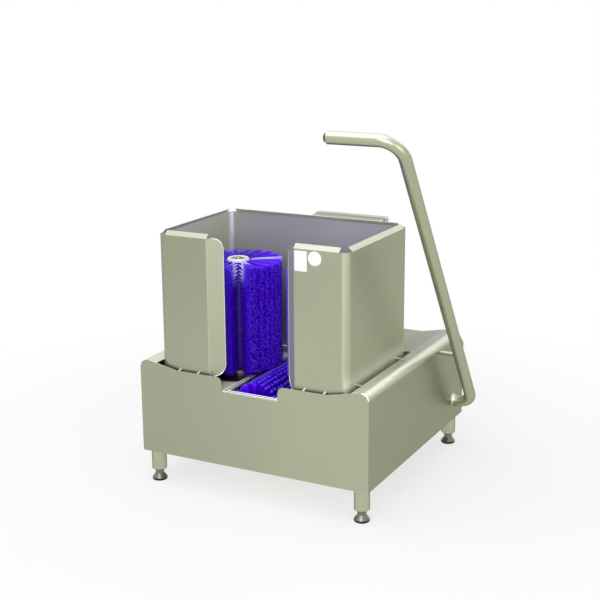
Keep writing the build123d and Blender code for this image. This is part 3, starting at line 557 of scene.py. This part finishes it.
# Corner welds: a bead round the bend at each front corner, where the front panel is welded to the
# side panels. It is ground, and its near-white patches are a painted highlight.
ridge_radius = 0.022
weld_radius = 0.0017
weld_start = math.radians(12)
weld_sweep = math.radians(72)
weld_sides = 10
weld_steps = 16
front_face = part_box("front_panel")[0].y
edge_finish = satin_steel(
    "edge_with_painted_highlight",
    highlight_edge_steel,
    edge_roughness,
    no_grain,
    relief=0.0,
    layers=(layer(in_patches, painted_edge_white, matt=0.3),),
)
for side, way in (("left", -1), ("right", 1)):
    panel_low, panel_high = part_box(f"{side}_side_panel")
    outer_face = panel_low.x if way < 0 else panel_high.x
    bead_form = bmesh.new()
    bmesh.ops.create_circle(
        bead_form,
        segments=weld_sides,
        radius=weld_radius,
        matrix=Matrix.Rotation(-weld_start, 4, "Y") @ Matrix.Translation((ridge_radius, 0, 0)),
    )
    bmesh.ops.spin(
        bead_form,
        geom=bead_form.verts[:] + bead_form.edges[:],
        cent=(0, 0, 0),
        axis=(0, -1, 0),
        angle=weld_sweep,
        steps=weld_steps,
    )
    bmesh.ops.holes_fill(bead_form, edges=bead_form.edges)
    bmesh.ops.scale(bead_form, verts=bead_form.verts, vec=(way, 1, 1))
    bend_centre = (outer_face - way * ridge_radius, front_face, panel_high.z - ridge_radius)
    bmesh.ops.translate(bead_form, verts=bead_form.verts, vec=bend_centre)
    bmesh.ops.recalc_face_normals(bead_form, faces=bead_form.faces)
    soften(bead_form)
    add_piece(f"{side}_corner_weld", bead_form, edge_finish, "washer")

# Drive: cast bearing blocks, folded gear housings, plain shafts and pulleys, rubber belts and an
# enamelled gearmotor behind the bulkhead.
cast_grey = (0.50, 0.50, 0.48)
cast_roughness = 0.45
cast_relief = 0.3
cast_finish = satin_steel("cast_alloy", cast_grey, cast_roughness, no_grain, relief=cast_relief)
dress(cast_finish, "brush_bearings", "cross_shaft_bearings", "roller_bearings")
dress(well_finish, "left_gear_housing", "right_gear_housing", "motor_bracket")
shaft_finish = satin_steel("bright_shaft", polished, polished_roughness, level_grain)
dress(shaft_finish, "roller_shaft", "roller_pulleys", "shaft_coupling", "hex_screws")
dress(shaft_finish, "left_brush_shaft", "right_brush_shaft", "left_cross_shaft", "right_cross_shaft")

enamel_dark = (0.18, 0.21, 0.23)
enamel_light = (0.22, 0.25, 0.27)
enamel_roughness = 0.4
enamel_relief = 0.1
enamel_finish, enamel_sockets, enamel_place = new_finish("grey_enamel", enamel_light, enamel_roughness)
peel = enamel_place.noise(scale=300.0, detail=2.0)
peel.mix(enamel_dark, enamel_light).feed(enamel_sockets["Base Color"])
peel_sockets = {"Height": peel, "Strength": enamel_relief}
enamel_place.node("ShaderNodeBump", {}, peel_sockets).feed(enamel_sockets["Normal"])
dress(enamel_finish, "motor", "gearbox")


def moulded(name, dark, light, roughness, spread, scale, detail=3.0):
    """A smooth finish of one material, whose tone and gloss differ a little from place to place."""
    finish, sockets, place = new_finish(name, light, roughness)
    grain = place.noise(scale=scale, detail=detail)
    grain.mix(dark, light).feed(sockets["Base Color"])
    vary_gloss(sockets, roughness, spread, grain)
    return finish


rubber_dark = (0.02, 0.02, 0.02)
rubber_light = (0.05, 0.05, 0.05)
belt_finish = moulded("belt_rubber", rubber_dark, rubber_light, roughness=0.7, spread=0.2, scale=240.0)
dress(belt_finish, "left_belt", "right_belt")

# Roller brush: dense nylon tufts in rows along a lying core, which turns in the slot of the
# floor. Each tuft is a bundle of filaments that spreads a little towards the tips.
filament_seed = 11
filament_radius = 0.00105
filament_taper = 0.8
filament_sides = 3
nylon_core_shade = (0.075, 0.001, 0.62)
nylon_bright = (0.112, 0.001, 0.99)
nylon_worn = (0.17, 0.03, 0.98)
nylon_tip_highlight = (0.45, 0.36, 0.97)
nylon_pale_highlight = (0.80, 0.78, 0.96)
nylon_roughness = 0.36
nylon_spread = 0.2
nylon_shine = 0.12
nylon_glow = 0.42
tuft_dim = 0.75
tuft_gain = 0.5
worn_reach = (0.80, 0.95)
worn_specks = (0.56, 0.64)
tip_start = 0.962
tip_end = 0.98
core_dark = (0.03, 0.002, 0.30)
core_light = (0.06, 0.004, 0.55)
roller_patterns = 4
roller_repeats = 7
roller_levels = 18
roller_hairs = 28
roller_sway = 0.22
roller_rise = 0.32
roller_tips = 0.8
tuft_sway = 0.10
part_root = 0.45
part_tilt = 1.5
part_shake = 0.3
tip_shortest = 0.955
tip_longest = 0.985
droop_levels = 2


def nylon(name, centre, flatten, inner, outer, tip_share, layers=(), lit=None):
    """Nylon that is deep near the core and bright at the tips, with tufts that differ a little.

    Each layer on it has a function for its cover, and a colour. The lit cover is where a pale glow
    is painted in, for light from above that comes through the filaments.
    """
    finish, sockets, place = new_finish(name, nylon_bright, nylon_roughness)
    shift = [-value * keep for value, keep in zip(centre, flatten)]
    distance = place.stretched(flatten, shift).length()
    reach = distance.step(inner, outer)
    tufts = place.noise(scale=150.0, detail=2.0)
    # Painted shade: the tone darkens towards the core.
    tone = (reach * (tuft_dim + tuft_gain * tufts)).mix(nylon_core_shade, nylon_bright)
    specks = reach.step(*worn_reach) * place.noise(scale=420.0, detail=1.0).step(*worn_specks)
    tone = specks.mix(tone, nylon_worn)
    # Painted highlight: paler tips.
    tips = tip_share * distance.step(tip_start * outer, tip_end * outer)
    tone = tips.mix(tone, nylon_tip_highlight)
    for cover, colour in layers:
        tone = cover(place).mix(tone, colour)
    tone.feed(sockets["Base Color"])
    if lit:
        # Painted light: a pale glow where the lit cover lies.
        lit(place).mix((0, 0, 0), nylon_pale_highlight).feed(sockets["Emission Color"])
        sockets["Emission Strength"].default_value = nylon_glow
    sockets["Specular IOR Level"].default_value = nylon_shine
    vary_gloss(sockets, nylon_roughness, nylon_spread, tufts)
    return finish


def filament(form, root, tip):
    """One bristle from root to tip."""
    way = tip - root
    middle = Matrix.Translation((root + tip) / 2)
    turn = way.to_track_quat("Z", "Y").to_matrix().to_4x4()
    bmesh.ops.create_cone(
        form,
        cap_ends=True,
        segments=filament_sides,
        radius1=filament_radius,
        radius2=filament_radius * filament_taper,
        depth=way.length,
        matrix=middle @ turn,
    )


def split_place(columns):
    """Angle of the middle of the split that is left by the empty places."""
    patterns, repeats, empty = columns
    return (patterns * (2 * repeats - empty) - 1) * math.pi / (patterns * repeats)


def tuft_field(root_radius, tip_radius, low, high, columns, levels, hairs, spread, droop, trim):
    """Tufts round an upright axis at the origin: a few columns, which are then spun round.

    The columns are given as patterns, places for them round the axis, and places left empty. These
    leave a split, where one column on each side is parted. The spread is sideways and upwards. The
    lowest tufts droop a little below their roots.
    """
    patterns, repeats, empty = columns
    sway, rise = spread

    def column(angle, tilt, stagger, shake):
        for level in range(levels):
            height = low + (level + stagger + chance.uniform(-shake, shake)) * pitch
            root = Vector((root_radius * math.cos(angle), root_radius * math.sin(angle), height))
            lean = angle + tilt + chance.uniform(-tuft_sway, tuft_sway) * step
            sag = droop * max(0, 1 - level / droop_levels)
            for _ in range(hairs):
                turn = lean + chance.uniform(-sway, sway) * step
                tip_height = height - sag + chance.uniform(-rise, rise) * pitch
                tip_height = min(max(tip_height, low - droop), high)
                full = tip_radius * chance.uniform(tip_shortest, tip_longest)
                reach = min(full, trim(tip_height))
                tip = Vector((reach * math.cos(turn), reach * math.sin(turn), tip_height))
                filament(form, root, tip)

    chance = random.Random(filament_seed)
    form = bmesh.new()
    step = 2 * math.pi / (patterns * repeats)
    pitch = (high - low) / levels
    for pattern in range(patterns):
        column(pattern * step, 0, (1 + 2 * (pattern % 2)) / 4, 0)
    repeated = form.verts[:] + form.edges[:] + form.faces[:]
    if empty:
        middle = split_place(columns)
        for way in (-1, 1):
            column(middle + way * part_root * step, way * part_tilt * step, (2 + way) / 4, part_shake)
    bmesh.ops.spin(
        form,
        geom=repeated,
        cent=(0, 0, 0),
        axis=(0, 0, 1),
        angle=2 * math.pi * (repeats - 1 - empty) / repeats,
        steps=repeats - 1 - empty,
        use_duplicate=True,
    )
    return form


roller_low, roller_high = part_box("roller_bristles")
roller_length = roller_high.y - roller_low.y
roller_radius = half_width("roller_bristles")
roller_root = half_width("roller_core")
roller_axis = middle_of("roller_core")
roller_field = tuft_field(
    roller_root,
    roller_radius,
    -roller_length / 2,
    roller_length / 2,
    (roller_patterns, roller_repeats, 0),
    roller_levels,
    roller_hairs,
    (roller_sway, roller_rise),
    0,
    lambda height: roller_radius,
)
lay_down = Matrix.Translation(roller_axis) @ Matrix.Rotation(math.pi / 2, 4, "X")
bmesh.ops.transform(roller_field, matrix=lay_down, verts=roller_field.verts)
roller_centre = (roller_axis.x, 0, roller_axis.z)
roller_nylon = nylon(
    "roller_nylon",
    roller_centre,
    (1, 0, 1),
    roller_root,
    roller_radius,
    roller_tips,
)
roller_tufts = add_piece("roller_tufts", roller_field, roller_nylon, "roller")
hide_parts("roller_bristles")

core_finish = moulded("moulded_core", core_dark, core_light, roughness=0.5, spread=0.2, scale=90.0)
dress(core_finish, "roller_core", "left_brush_core", "right_brush_core")

# Upright brushes: the same tufts in columns on two standing cores. They are cut to one radius,
# and shorter at the foot, where the roller passes under them. A split is left between two columns.
upright_patterns = 2
upright_repeats = 20
upright_empty = 1
upright_levels = 28
upright_hairs = 20
upright_sway = 0.38
upright_rise = 0.5
upright_tips = 0.25
brush_gap = 0.003
brush_droop = 0.0065
split_turn = math.radians(-60)
split_way = Vector((math.cos(split_turn), math.sin(split_turn), 0))
split_side = Vector((-math.sin(split_turn), math.cos(split_turn), 0))
split_spread = 1.7
split_soft = 0.02
split_fade = 0.075
split_full = 0.008
split_reach = 0.75
split_low_share = 0.02
split_highlight_least = 0.4
split_highlight_patches = (0.35, 0.6)
crown_share = 0.07
crown_fade = 0.009
crown_full = 0.002
parting_share = 0.7
parting_right = (0.02, 0.05)
parting_across = (0.004, 0.016)
parting_fade = 0.012
parting_full = 0.004


def roller_reach(height):
    """Half of the roller's width at a height."""
    return math.sqrt(max(0, roller_radius ** 2 - (height - roller_axis.z) ** 2))


def crown_highlight(top):
    """Cover for the tufts of the crown, which face the light: a painted highlight."""

    def cover(place):
        return crown_share * place.part("Z").step(top - crown_fade, top - crown_full)

    return cover


def split_highlight(axis, root, tip, top, low_share):
    """Cover for a painted highlight and glow on the split's tufts, palest near the core and under the
    crown.
    """

    def cover(place):
        outward = place.stretched((1, 1, 0), (-axis.x, -axis.y, 0))
        sideways = outward.dot(split_side).size()
        sector = (outward.dot(split_way) - split_spread * sideways).step(0, split_soft)
        high = place.part("Z").step(top - split_fade, top - split_full)
        near = 1 - outward.length().step(root, split_reach * tip)
        patches = place.noise(scale=130.0, detail=2.0).step(*split_highlight_patches)
        patchy = split_highlight_least + (1 - split_highlight_least) * patches
        return sector * near * patchy * (low_share + (1 - low_share) * high)

    return cover


def parted(axis, top):
    """Cover for the parting on the right of the crown, where the tufts stand up into the light."""

    def cover(place):
        outward = place.stretched((1, 1, 0), (-axis.x, -axis.y, 0))
        right = outward.dot(split_side).step(*parting_right)
        across = 1 - outward.dot(split_way).size().step(*parting_across)
        high = place.part("Z").step(top - parting_fade, top - parting_full)
        return parting_share * right * across * high

    return cover


upright_columns = (upright_patterns, upright_repeats, upright_empty)
turn_to_split = Matrix.Rotation(split_turn - split_place(upright_columns), 3, "Z")
for side in ("left", "right"):
    low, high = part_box(f"{side}_brush_bristles")
    brush_root = half_width(f"{side}_brush_core")
    brush_radius = half_width(f"{side}_brush_bristles")
    brush_axis = middle_of(f"{side}_brush_core")
    brush_offset = abs(brush_axis.x - roller_axis.x)
    field = tuft_field(
        brush_root,
        brush_radius,
        low.z,
        high.z,
        upright_columns,
        upright_levels,
        upright_hairs,
        (upright_sway, upright_rise),
        brush_droop,
        lambda height: brush_offset - brush_gap - roller_reach(height),
    )
    bmesh.ops.rotate(field, verts=field.verts, cent=(0, 0, 0), matrix=turn_to_split)
    bmesh.ops.translate(field, verts=field.verts, vec=(brush_axis.x, brush_axis.y, 0))
    brush_centre = (brush_axis.x, brush_axis.y, 0)
    brush_layers = (
        (crown_highlight(high.z), nylon_tip_highlight),
        (parted(brush_axis, high.z), nylon_pale_highlight),
        (split_highlight(brush_axis, brush_root, brush_radius, high.z, split_low_share), nylon_pale_highlight),
    )
    brush_nylon = nylon(
        f"{side}_nylon",
        brush_centre,
        (1, 1, 0),
        brush_root,
        brush_radius,
        upright_tips,
        brush_layers,
        split_highlight(brush_axis, brush_root, brush_radius, high.z, 0),
    )
    tufts = add_piece(f"{side}_brush_tufts", field, brush_nylon, f"{side}_brush")
    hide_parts(f"{side}_brush_bristles")

# Brush caps: white moulded rings pressed on the tops of the cores, each with a steel washer and a
# hexagon screw that holds the brush to its shaft.
cap_shaded = (0.74, 0.74, 0.76)
cap_white = (0.84, 0.84, 0.86)
cap_round = 0.0012
cap_outer_radius = 0.0325
cap_top_radius = 0.0285
cap_wall = 0.002
washer_radius = 0.0205
washer_sink = 0.0028
screw_radius = 0.0075
screw_height = 0.0045
screw_sides = 6
screw_round = 0.0005625
turned_steps = 64
merge_distance = 1e-6


def turned(profile, centre):
    """A form spun round an upright axis from a chain of radii and heights."""
    form = bmesh.new()
    chain = [form.verts.new((radius, 0, height)) for radius, height in profile]
    links = [form.edges.new(pair) for pair in zip(chain, chain[1:])]
    bmesh.ops.spin(
        form,
        geom=chain + links,
        cent=(0, 0, 0),
        axis=(0, 0, 1),
        angle=2 * math.pi,
        steps=turned_steps,
        use_merge=True,
    )
    bmesh.ops.remove_doubles(form, verts=form.verts, dist=merge_distance)
    bmesh.ops.recalc_face_normals(form, faces=form.faces)
    bmesh.ops.translate(form, verts=form.verts, vec=centre)
    return form


cap_finish = moulded("white_cap", cap_shaded, cap_white, roughness=0.35, spread=0.14, scale=60.0)
for side in ("left", "right"):
    low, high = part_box(f"{side}_brush_cap")
    cap_centre = middle_of(f"{side}_brush_cap") * Vector((1, 1, 0))
    cap_form = turned(
        (
            (0, low.z),
            (cap_outer_radius, low.z),
            (cap_outer_radius, low.z + cap_wall),
            (cap_top_radius + cap_round, high.z - cap_round),
            (cap_top_radius, high.z),
            (washer_radius + 2 * cap_round, high.z),
            (washer_radius + cap_round, high.z - cap_round),
            (washer_radius + cap_round, high.z - 2 * washer_sink),
            (0, high.z - 2 * washer_sink),
        ),
        cap_centre,
    )
    soften(cap_form)
    cap = add_piece(f"{side}_cap_ring", cap_form, cap_finish, f"{side}_brush")
    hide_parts(f"{side}_brush_cap")

    washer_form = turned(
        (
            (0, high.z - 2 * washer_sink),
            (washer_radius, high.z - 2 * washer_sink),
            (washer_radius, high.z - washer_sink),
            (0, high.z - washer_sink),
        ),
        cap_centre,
    )
    soften(washer_form)
    add_piece(f"{side}_cap_washer", washer_form, shaft_finish, f"{side}_brush")

    screw_middle = cap_centre + Vector((0, 0, high.z - washer_sink + screw_height / 2))
    screw_form = bmesh.new()
    bmesh.ops.create_cone(
        screw_form,
        cap_ends=True,
        segments=screw_sides,
        radius1=screw_radius,
        radius2=screw_radius,
        depth=screw_height,
        matrix=Matrix.Translation(screw_middle),
    )
    bmesh.ops.bevel(
        screw_form,
        geom=screw_form.edges[:],
        offset=screw_round,
        segments=2,
        profile=0.5,
        affect="EDGES",
        material=-1,
    )
    add_piece(f"{side}_cap_screw", screw_form, shaft_finish, f"{side}_brush")

# Shroud: one sheet folded round three sides, with flanges turned in at the boot opening and a lip
# along each top edge. Spray dries on its inside, which is dull. Small plates carry it over the gap.
shroud_middle = middle_of("shroud")
shroud_low, shroud_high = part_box("shroud")
spray_film_and_reflection = (0.44, 0.43, 0.435)
painted_left_wall_light = (0.70, 0.72, 0.55)
painted_flange_reflection = (0.36, 0.33, 0.41)
lip_white = (0.47, 0.47, 0.465)
painted_lip_underside_light = (0.80, 0.82, 0.58)
painted_fold_highlight = (0.52, 0.53, 0.385)
foot_glow = (0.85, 0.86, 0.72)
painted_bend_highlight = (0.98, 0.98, 0.95)
bend_radius = 0.016
inside_fade = 0.001
left_facing = (0.6, 0.95)
flange_depth = (0.05, 0.07)
flange_facing = (0.4, 0.6)
fold_start = (0.06, 0.3)
fold_end = (0.42, 0.62)
foot_share = 0.85
foot_fade = (0.005, 0.075)
foot_right = (0, 0.1)
foot_facing = (0.25, 0.6)


def inside(place):
    """One on the faces of the shroud that look towards its middle."""
    outward = place.stretched((1, 1, 0), (-shroud_middle.x, -shroud_middle.y, 0))
    return 1 - outward.dot(facing(place)).step(-inside_fade, 0)


def left_wall(place):
    """One on the inside of the left wall, where a paler tone is painted in as the daylight on it."""
    return inside(place) * facing(place).part("X").step(*left_facing)


def rear_bend_highlight(place):
    """One inside the two rear bends, where a bright highlight is painted in."""
    half = (shroud_high.x - shroud_low.x) / 2
    sideways = (place.part("X") - shroud_middle.x).size()
    near_side = sideways.step(half - bend_radius, half - bend_radius / 2)
    near_back = place.part("Y").step(shroud_high.y - bend_radius, shroud_high.y - bend_radius / 2)
    return near_side * near_back * inside(place)


def dull_inside(place):
    """One on the inside away from the rear bends, where spray dries; its faint lilac tint is painted
    reflection.
    """
    return inside(place) * (1 - rear_bend_highlight(place))


def under_lip(place):
    """One on the undersides of the lips, where a paler tone is painted in as light."""
    return inside(place) * (0 - facing(place).part("Z")).step(*level_tilt)


def flange_reflection(place):
    """One on the outside of the right flange, where the left brush's violet is painted in as a
    reflection.
    """
    leftward = 0 - facing(place).part("X")
    forward = 0 - facing(place).part("Y")
    near_front = 1 - place.part("Y").step(*[shroud_low.y + depth for depth in flange_depth])
    return leftward.step(*flange_facing) * forward.step(*flange_facing) * near_front


def fold_highlight(place):
    """One on the near side of the upright folds, where a brighter tone is painted in as a highlight.
    """
    rightward = facing(place).part("X")
    return rightward.step(*fold_start) * (1 - rightward.step(*fold_end))


def lit_foot(place):
    """Rises towards the foot of the right side, which the bright deck beside it lights."""
    low = 1 - place.part("Z").step(*[shroud_low.z + height for height in foot_fade])
    right = place.part("X").step(*foot_right) * facing(place).part("X").step(*foot_facing)
    return foot_share * low * right


shroud_layers = (
    layer(upward, lip_white, matt=0.5),
    painted_shade_layer,
    layer(fold_highlight, painted_fold_highlight, matt=0.0),
    layer(lit_foot, foot_glow, matt=0.6),
    layer(flange_reflection, painted_flange_reflection, matt=0.6),
    layer(dull_inside, spray_film_and_reflection, matt=0.55),
    layer(left_wall, painted_left_wall_light, matt=0.55),
    layer(under_lip, painted_lip_underside_light, matt=0.55),
    layer(rear_bend_highlight, painted_bend_highlight, matt=0.0),
)
shroud_finish = satin_steel(
    "satin_shroud",
    steel,
    sheet_roughness,
    upright_grain,
    layers=shroud_layers,
)
dress(shroud_finish, "shroud")

# Painted highlight: the small plates are pale, and near-white on top.
painted_plate_highlight = (0.98, 0.98, 0.94)
plate_roughness = 0.30
plate_layers = (layer(upward, painted_plate_highlight, matt=0.5),)
plate_finish = satin_steel(
    "plate_with_painted_highlight",
    painted_highlight_steel,
    plate_roughness,
    upright_grain,
    layers=plate_layers,
)
dress(plate_finish, "shroud_tabs")

# Flange edges: the free edges of the two flanges are dressed round, along their height and round
# both corners. They are of the same sheet as the shroud; the left one carries a painted highlight.
mouth_half = 0.098
flange_step = 0.03288
flange_corner = 0.032
lip_rise = 0.0115
hem_radius = 0.0013
hem_sides = 8
hem_steps = 12
hem_low = shroud_low.z + flange_corner
hem_high = shroud_high.z - lip_rise - flange_corner
upwards = Vector((0, 0, 1))
for side, way, hem_finish in (("left", -1, edge_finish), ("right", 1, shroud_finish)):
    free_edge = Vector((shroud_middle.x + way * mouth_half, shroud_low.y + flange_step, hem_low))
    along = Vector((way, -1, 0)).normalized()
    hem_form = bmesh.new()
    bmesh.ops.create_circle(
        hem_form,
        segments=hem_sides,
        radius=hem_radius,
        matrix=Matrix.Translation(free_edge),
    )
    foot_loop = hem_form.verts[:] + hem_form.edges[:]
    raised = bmesh.ops.extrude_edge_only(hem_form, edges=hem_form.edges[:])["geom"]
    top_loop = [part for part in raised if not isinstance(part, bmesh.types.BMFace)]
    top_ring = [part for part in raised if isinstance(part, bmesh.types.BMVert)]
    bmesh.ops.translate(hem_form, verts=top_ring, vec=(0, 0, hem_high - hem_low))
    for loop, height, axis in (
        (top_loop, hem_high, upwards.cross(along)),
        (foot_loop, hem_low, along.cross(upwards)),
    ):
        bmesh.ops.spin(
            hem_form,
            geom=[part for part in loop if part.is_valid],
            cent=Vector((free_edge.x, free_edge.y, height)) + flange_corner * along,
            axis=axis,
            angle=math.pi / 2,
            steps=hem_steps,
        )
    bmesh.ops.remove_doubles(hem_form, verts=hem_form.verts, dist=merge_distance)
    bmesh.ops.holes_fill(hem_form, edges=hem_form.edges)
    bmesh.ops.recalc_face_normals(hem_form, faces=hem_form.faces)
    soften(hem_form)
    add_piece(f"{side}_flange_edge", hem_form, hem_finish, "washer")

# Decals: two plain white stickers of thin vinyl on the right front plate of the shroud, one cut
# square with round corners and one cut round.
decal_shaded = (0.82, 0.82, 0.81)
decal_white = (0.89, 0.89, 0.88)
decal_size = (0.036, 0.0535)
decal_corner = 0.0025
decal_middle = (0.134, 0.04325)
disc_radius = 0.019
disc_middle = (0.0938, 0.0335)
disc_sides = 64
decal_thickness = 0.0003

decal_finish = moulded("white_vinyl", decal_shaded, decal_white, roughness=0.4, spread=0.2, scale=40.0)
square_form = bmesh.new()
bmesh.ops.create_grid(square_form, x_segments=1, y_segments=1, size=0.5)
bmesh.ops.scale(square_form, verts=square_form.verts, vec=(*decal_size, 1))
bmesh.ops.bevel(
    square_form,
    geom=square_form.verts[:],
    offset=decal_corner,
    segments=4,
    profile=0.5,
    affect="VERTICES",
    material=-1,
)
round_form = bmesh.new()
bmesh.ops.create_circle(round_form, cap_ends=True, segments=disc_sides, radius=disc_radius)
for name, form, (inset, drop) in (
    ("square_decal", square_form, decal_middle),
    ("round_decal", round_form, disc_middle),
):
    thicken(form, decal_thickness)
    spot = Vector((shroud_high.x - inset, shroud_low.y, shroud_high.z - drop))
    stand_up = Matrix.Translation(spot) @ Matrix.Rotation(math.pi / 2, 4, "X")
    bmesh.ops.transform(form, matrix=stand_up, verts=form.verts)
    add_piece(name, form, decal_finish, "washer")

# Handle: one bent steel tube, welded to the right side panel at its foot and held by a flat stay.
# It is dull in patches and pale on top, from dust and a painted highlight. The weld at its foot
# spreads on to the panel, with a painted highlight on top.
flare_width = 0.006
flare_length = 0.009
flare_lap = 0.001

# The curve of the weld is given in shares of its width and of its length.
flare_curve = ((1, 0), (0.55, 0.08), (0.27, 0.25), (0.10, 0.52), (0.03, 1))

stay_fade = 0.002
rubbed_roughness = 0.34
handle_steel = (0.47, 0.48, 0.33)
# Painted shade: an edge tint darkens the sides of the handle.
handle_painted_edge_shade = (0.42, 0.42, 0.37, 1)
handle_film = (0.42, 0.43, 0.30)
# Dust and painted highlight: a pale tone on the top of the tube.
handle_dust_and_highlight = (0.78, 0.78, 0.73)
handle_layers = (
    layer(in_patches, handle_film, matt=0.3),
    layer(upward, handle_dust_and_highlight, matt=0.5),
    weld_painted_highlight,
)
handle_finish = satin_steel(
    "satin_handle",
    handle_steel,
    tube_roughness,
    no_grain,
    relief=0.01,
    edges=handle_painted_edge_shade,
    layers=handle_layers,
)
dress(handle_finish, "handle_tube")


def stay_highlight(place):
    """One on the rear half of the top of the stay, where a white highlight is painted in."""
    middle = middle_of("handle_stay").y
    return upward(place) * place.part("Y").step(middle - stay_fade, middle + stay_fade)


# Painted highlight: a white band on the rear half of the stay's top.
stay_layers = (layer(stay_highlight, painted_plate_highlight, matt=0.5),)
stay_finish = satin_steel(
    "stay_with_painted_highlight",
    shaded_side_steel,
    rubbed_roughness,
    upright_grain,
    layers=stay_layers,
)
dress(stay_finish, "handle_stay")

flare_inside = handle_radius - flare_lap
flare_profile = [(flare_inside, 0)]
for wide, far in flare_curve:
    flare_profile.append((handle_radius + wide * flare_width, far * flare_length))
flare_profile += [(flare_inside, flare_length), (flare_inside, 0)]
flare_form = turned(flare_profile, (0, 0, 0))
flare_turn = Matrix.Translation(handle_foot) @ Matrix.Rotation(math.pi / 2, 4, "Y")
bmesh.ops.transform(flare_form, matrix=flare_turn, verts=flare_form.verts)
soften(flare_form)
# The weld carries the painted highlight on its top.
weld_finish = satin_steel(
    "weld_painted_highlight",
    shaded_side_steel,
    rubbed_roughness,
    no_grain,
    relief=0.0,
    layers=(weld_painted_highlight,),
)
add_piece("handle_weld", flare_form, weld_finish, "washer")

# Push button: a black plastic plunger in a black guide, with the sealed switch behind it. The
# same plastic makes the gland, the conduit and the relay block.
black = (0.014, 0.014, 0.014)
black_worn = (0.028, 0.028, 0.028)
black_finish = moulded(
    "black_plastic",
    black,
    black_worn,
    roughness=0.42,
    spread=0.14,
    scale=700.0,
    detail=2.0,
)
dress(black_finish, "handle_button", "button_guide", "button_switch")
dress(black_finish, "relay_block", "cable_gland", "cable_conduit")

# Control box: a folded steel case on the back of the shroud, closed by a lid with turned-down edges.
# Both are of satin sheet, and the lid is grey with dust.
box_finish = satin_steel("satin_box", steel, sheet_roughness, upright_grain, layers=(dusty,))
dress(box_finish, "control_box")
lid_grey = (0.52, 0.53, 0.47)
lid_layers = (layer(in_patches, lid_grey, matt=0.75),)
lid_finish = satin_steel("dusty_lid", steel, sheet_roughness, upright_grain, layers=lid_layers)
dress(lid_finish, "control_box_lid")

# Water line: a brass inlet and valve in the base, and a bent steel pipe from the valve that sprays
# from behind the shroud.
brass = (0.66, 0.50, 0.24)
brass_roughness = 0.3
brass_finish = satin_steel("plain_brass", brass, brass_roughness, no_grain)
dress(brass_finish, "water_inlet", "water_valve")
dress(tube_finish, "spray_pipe")
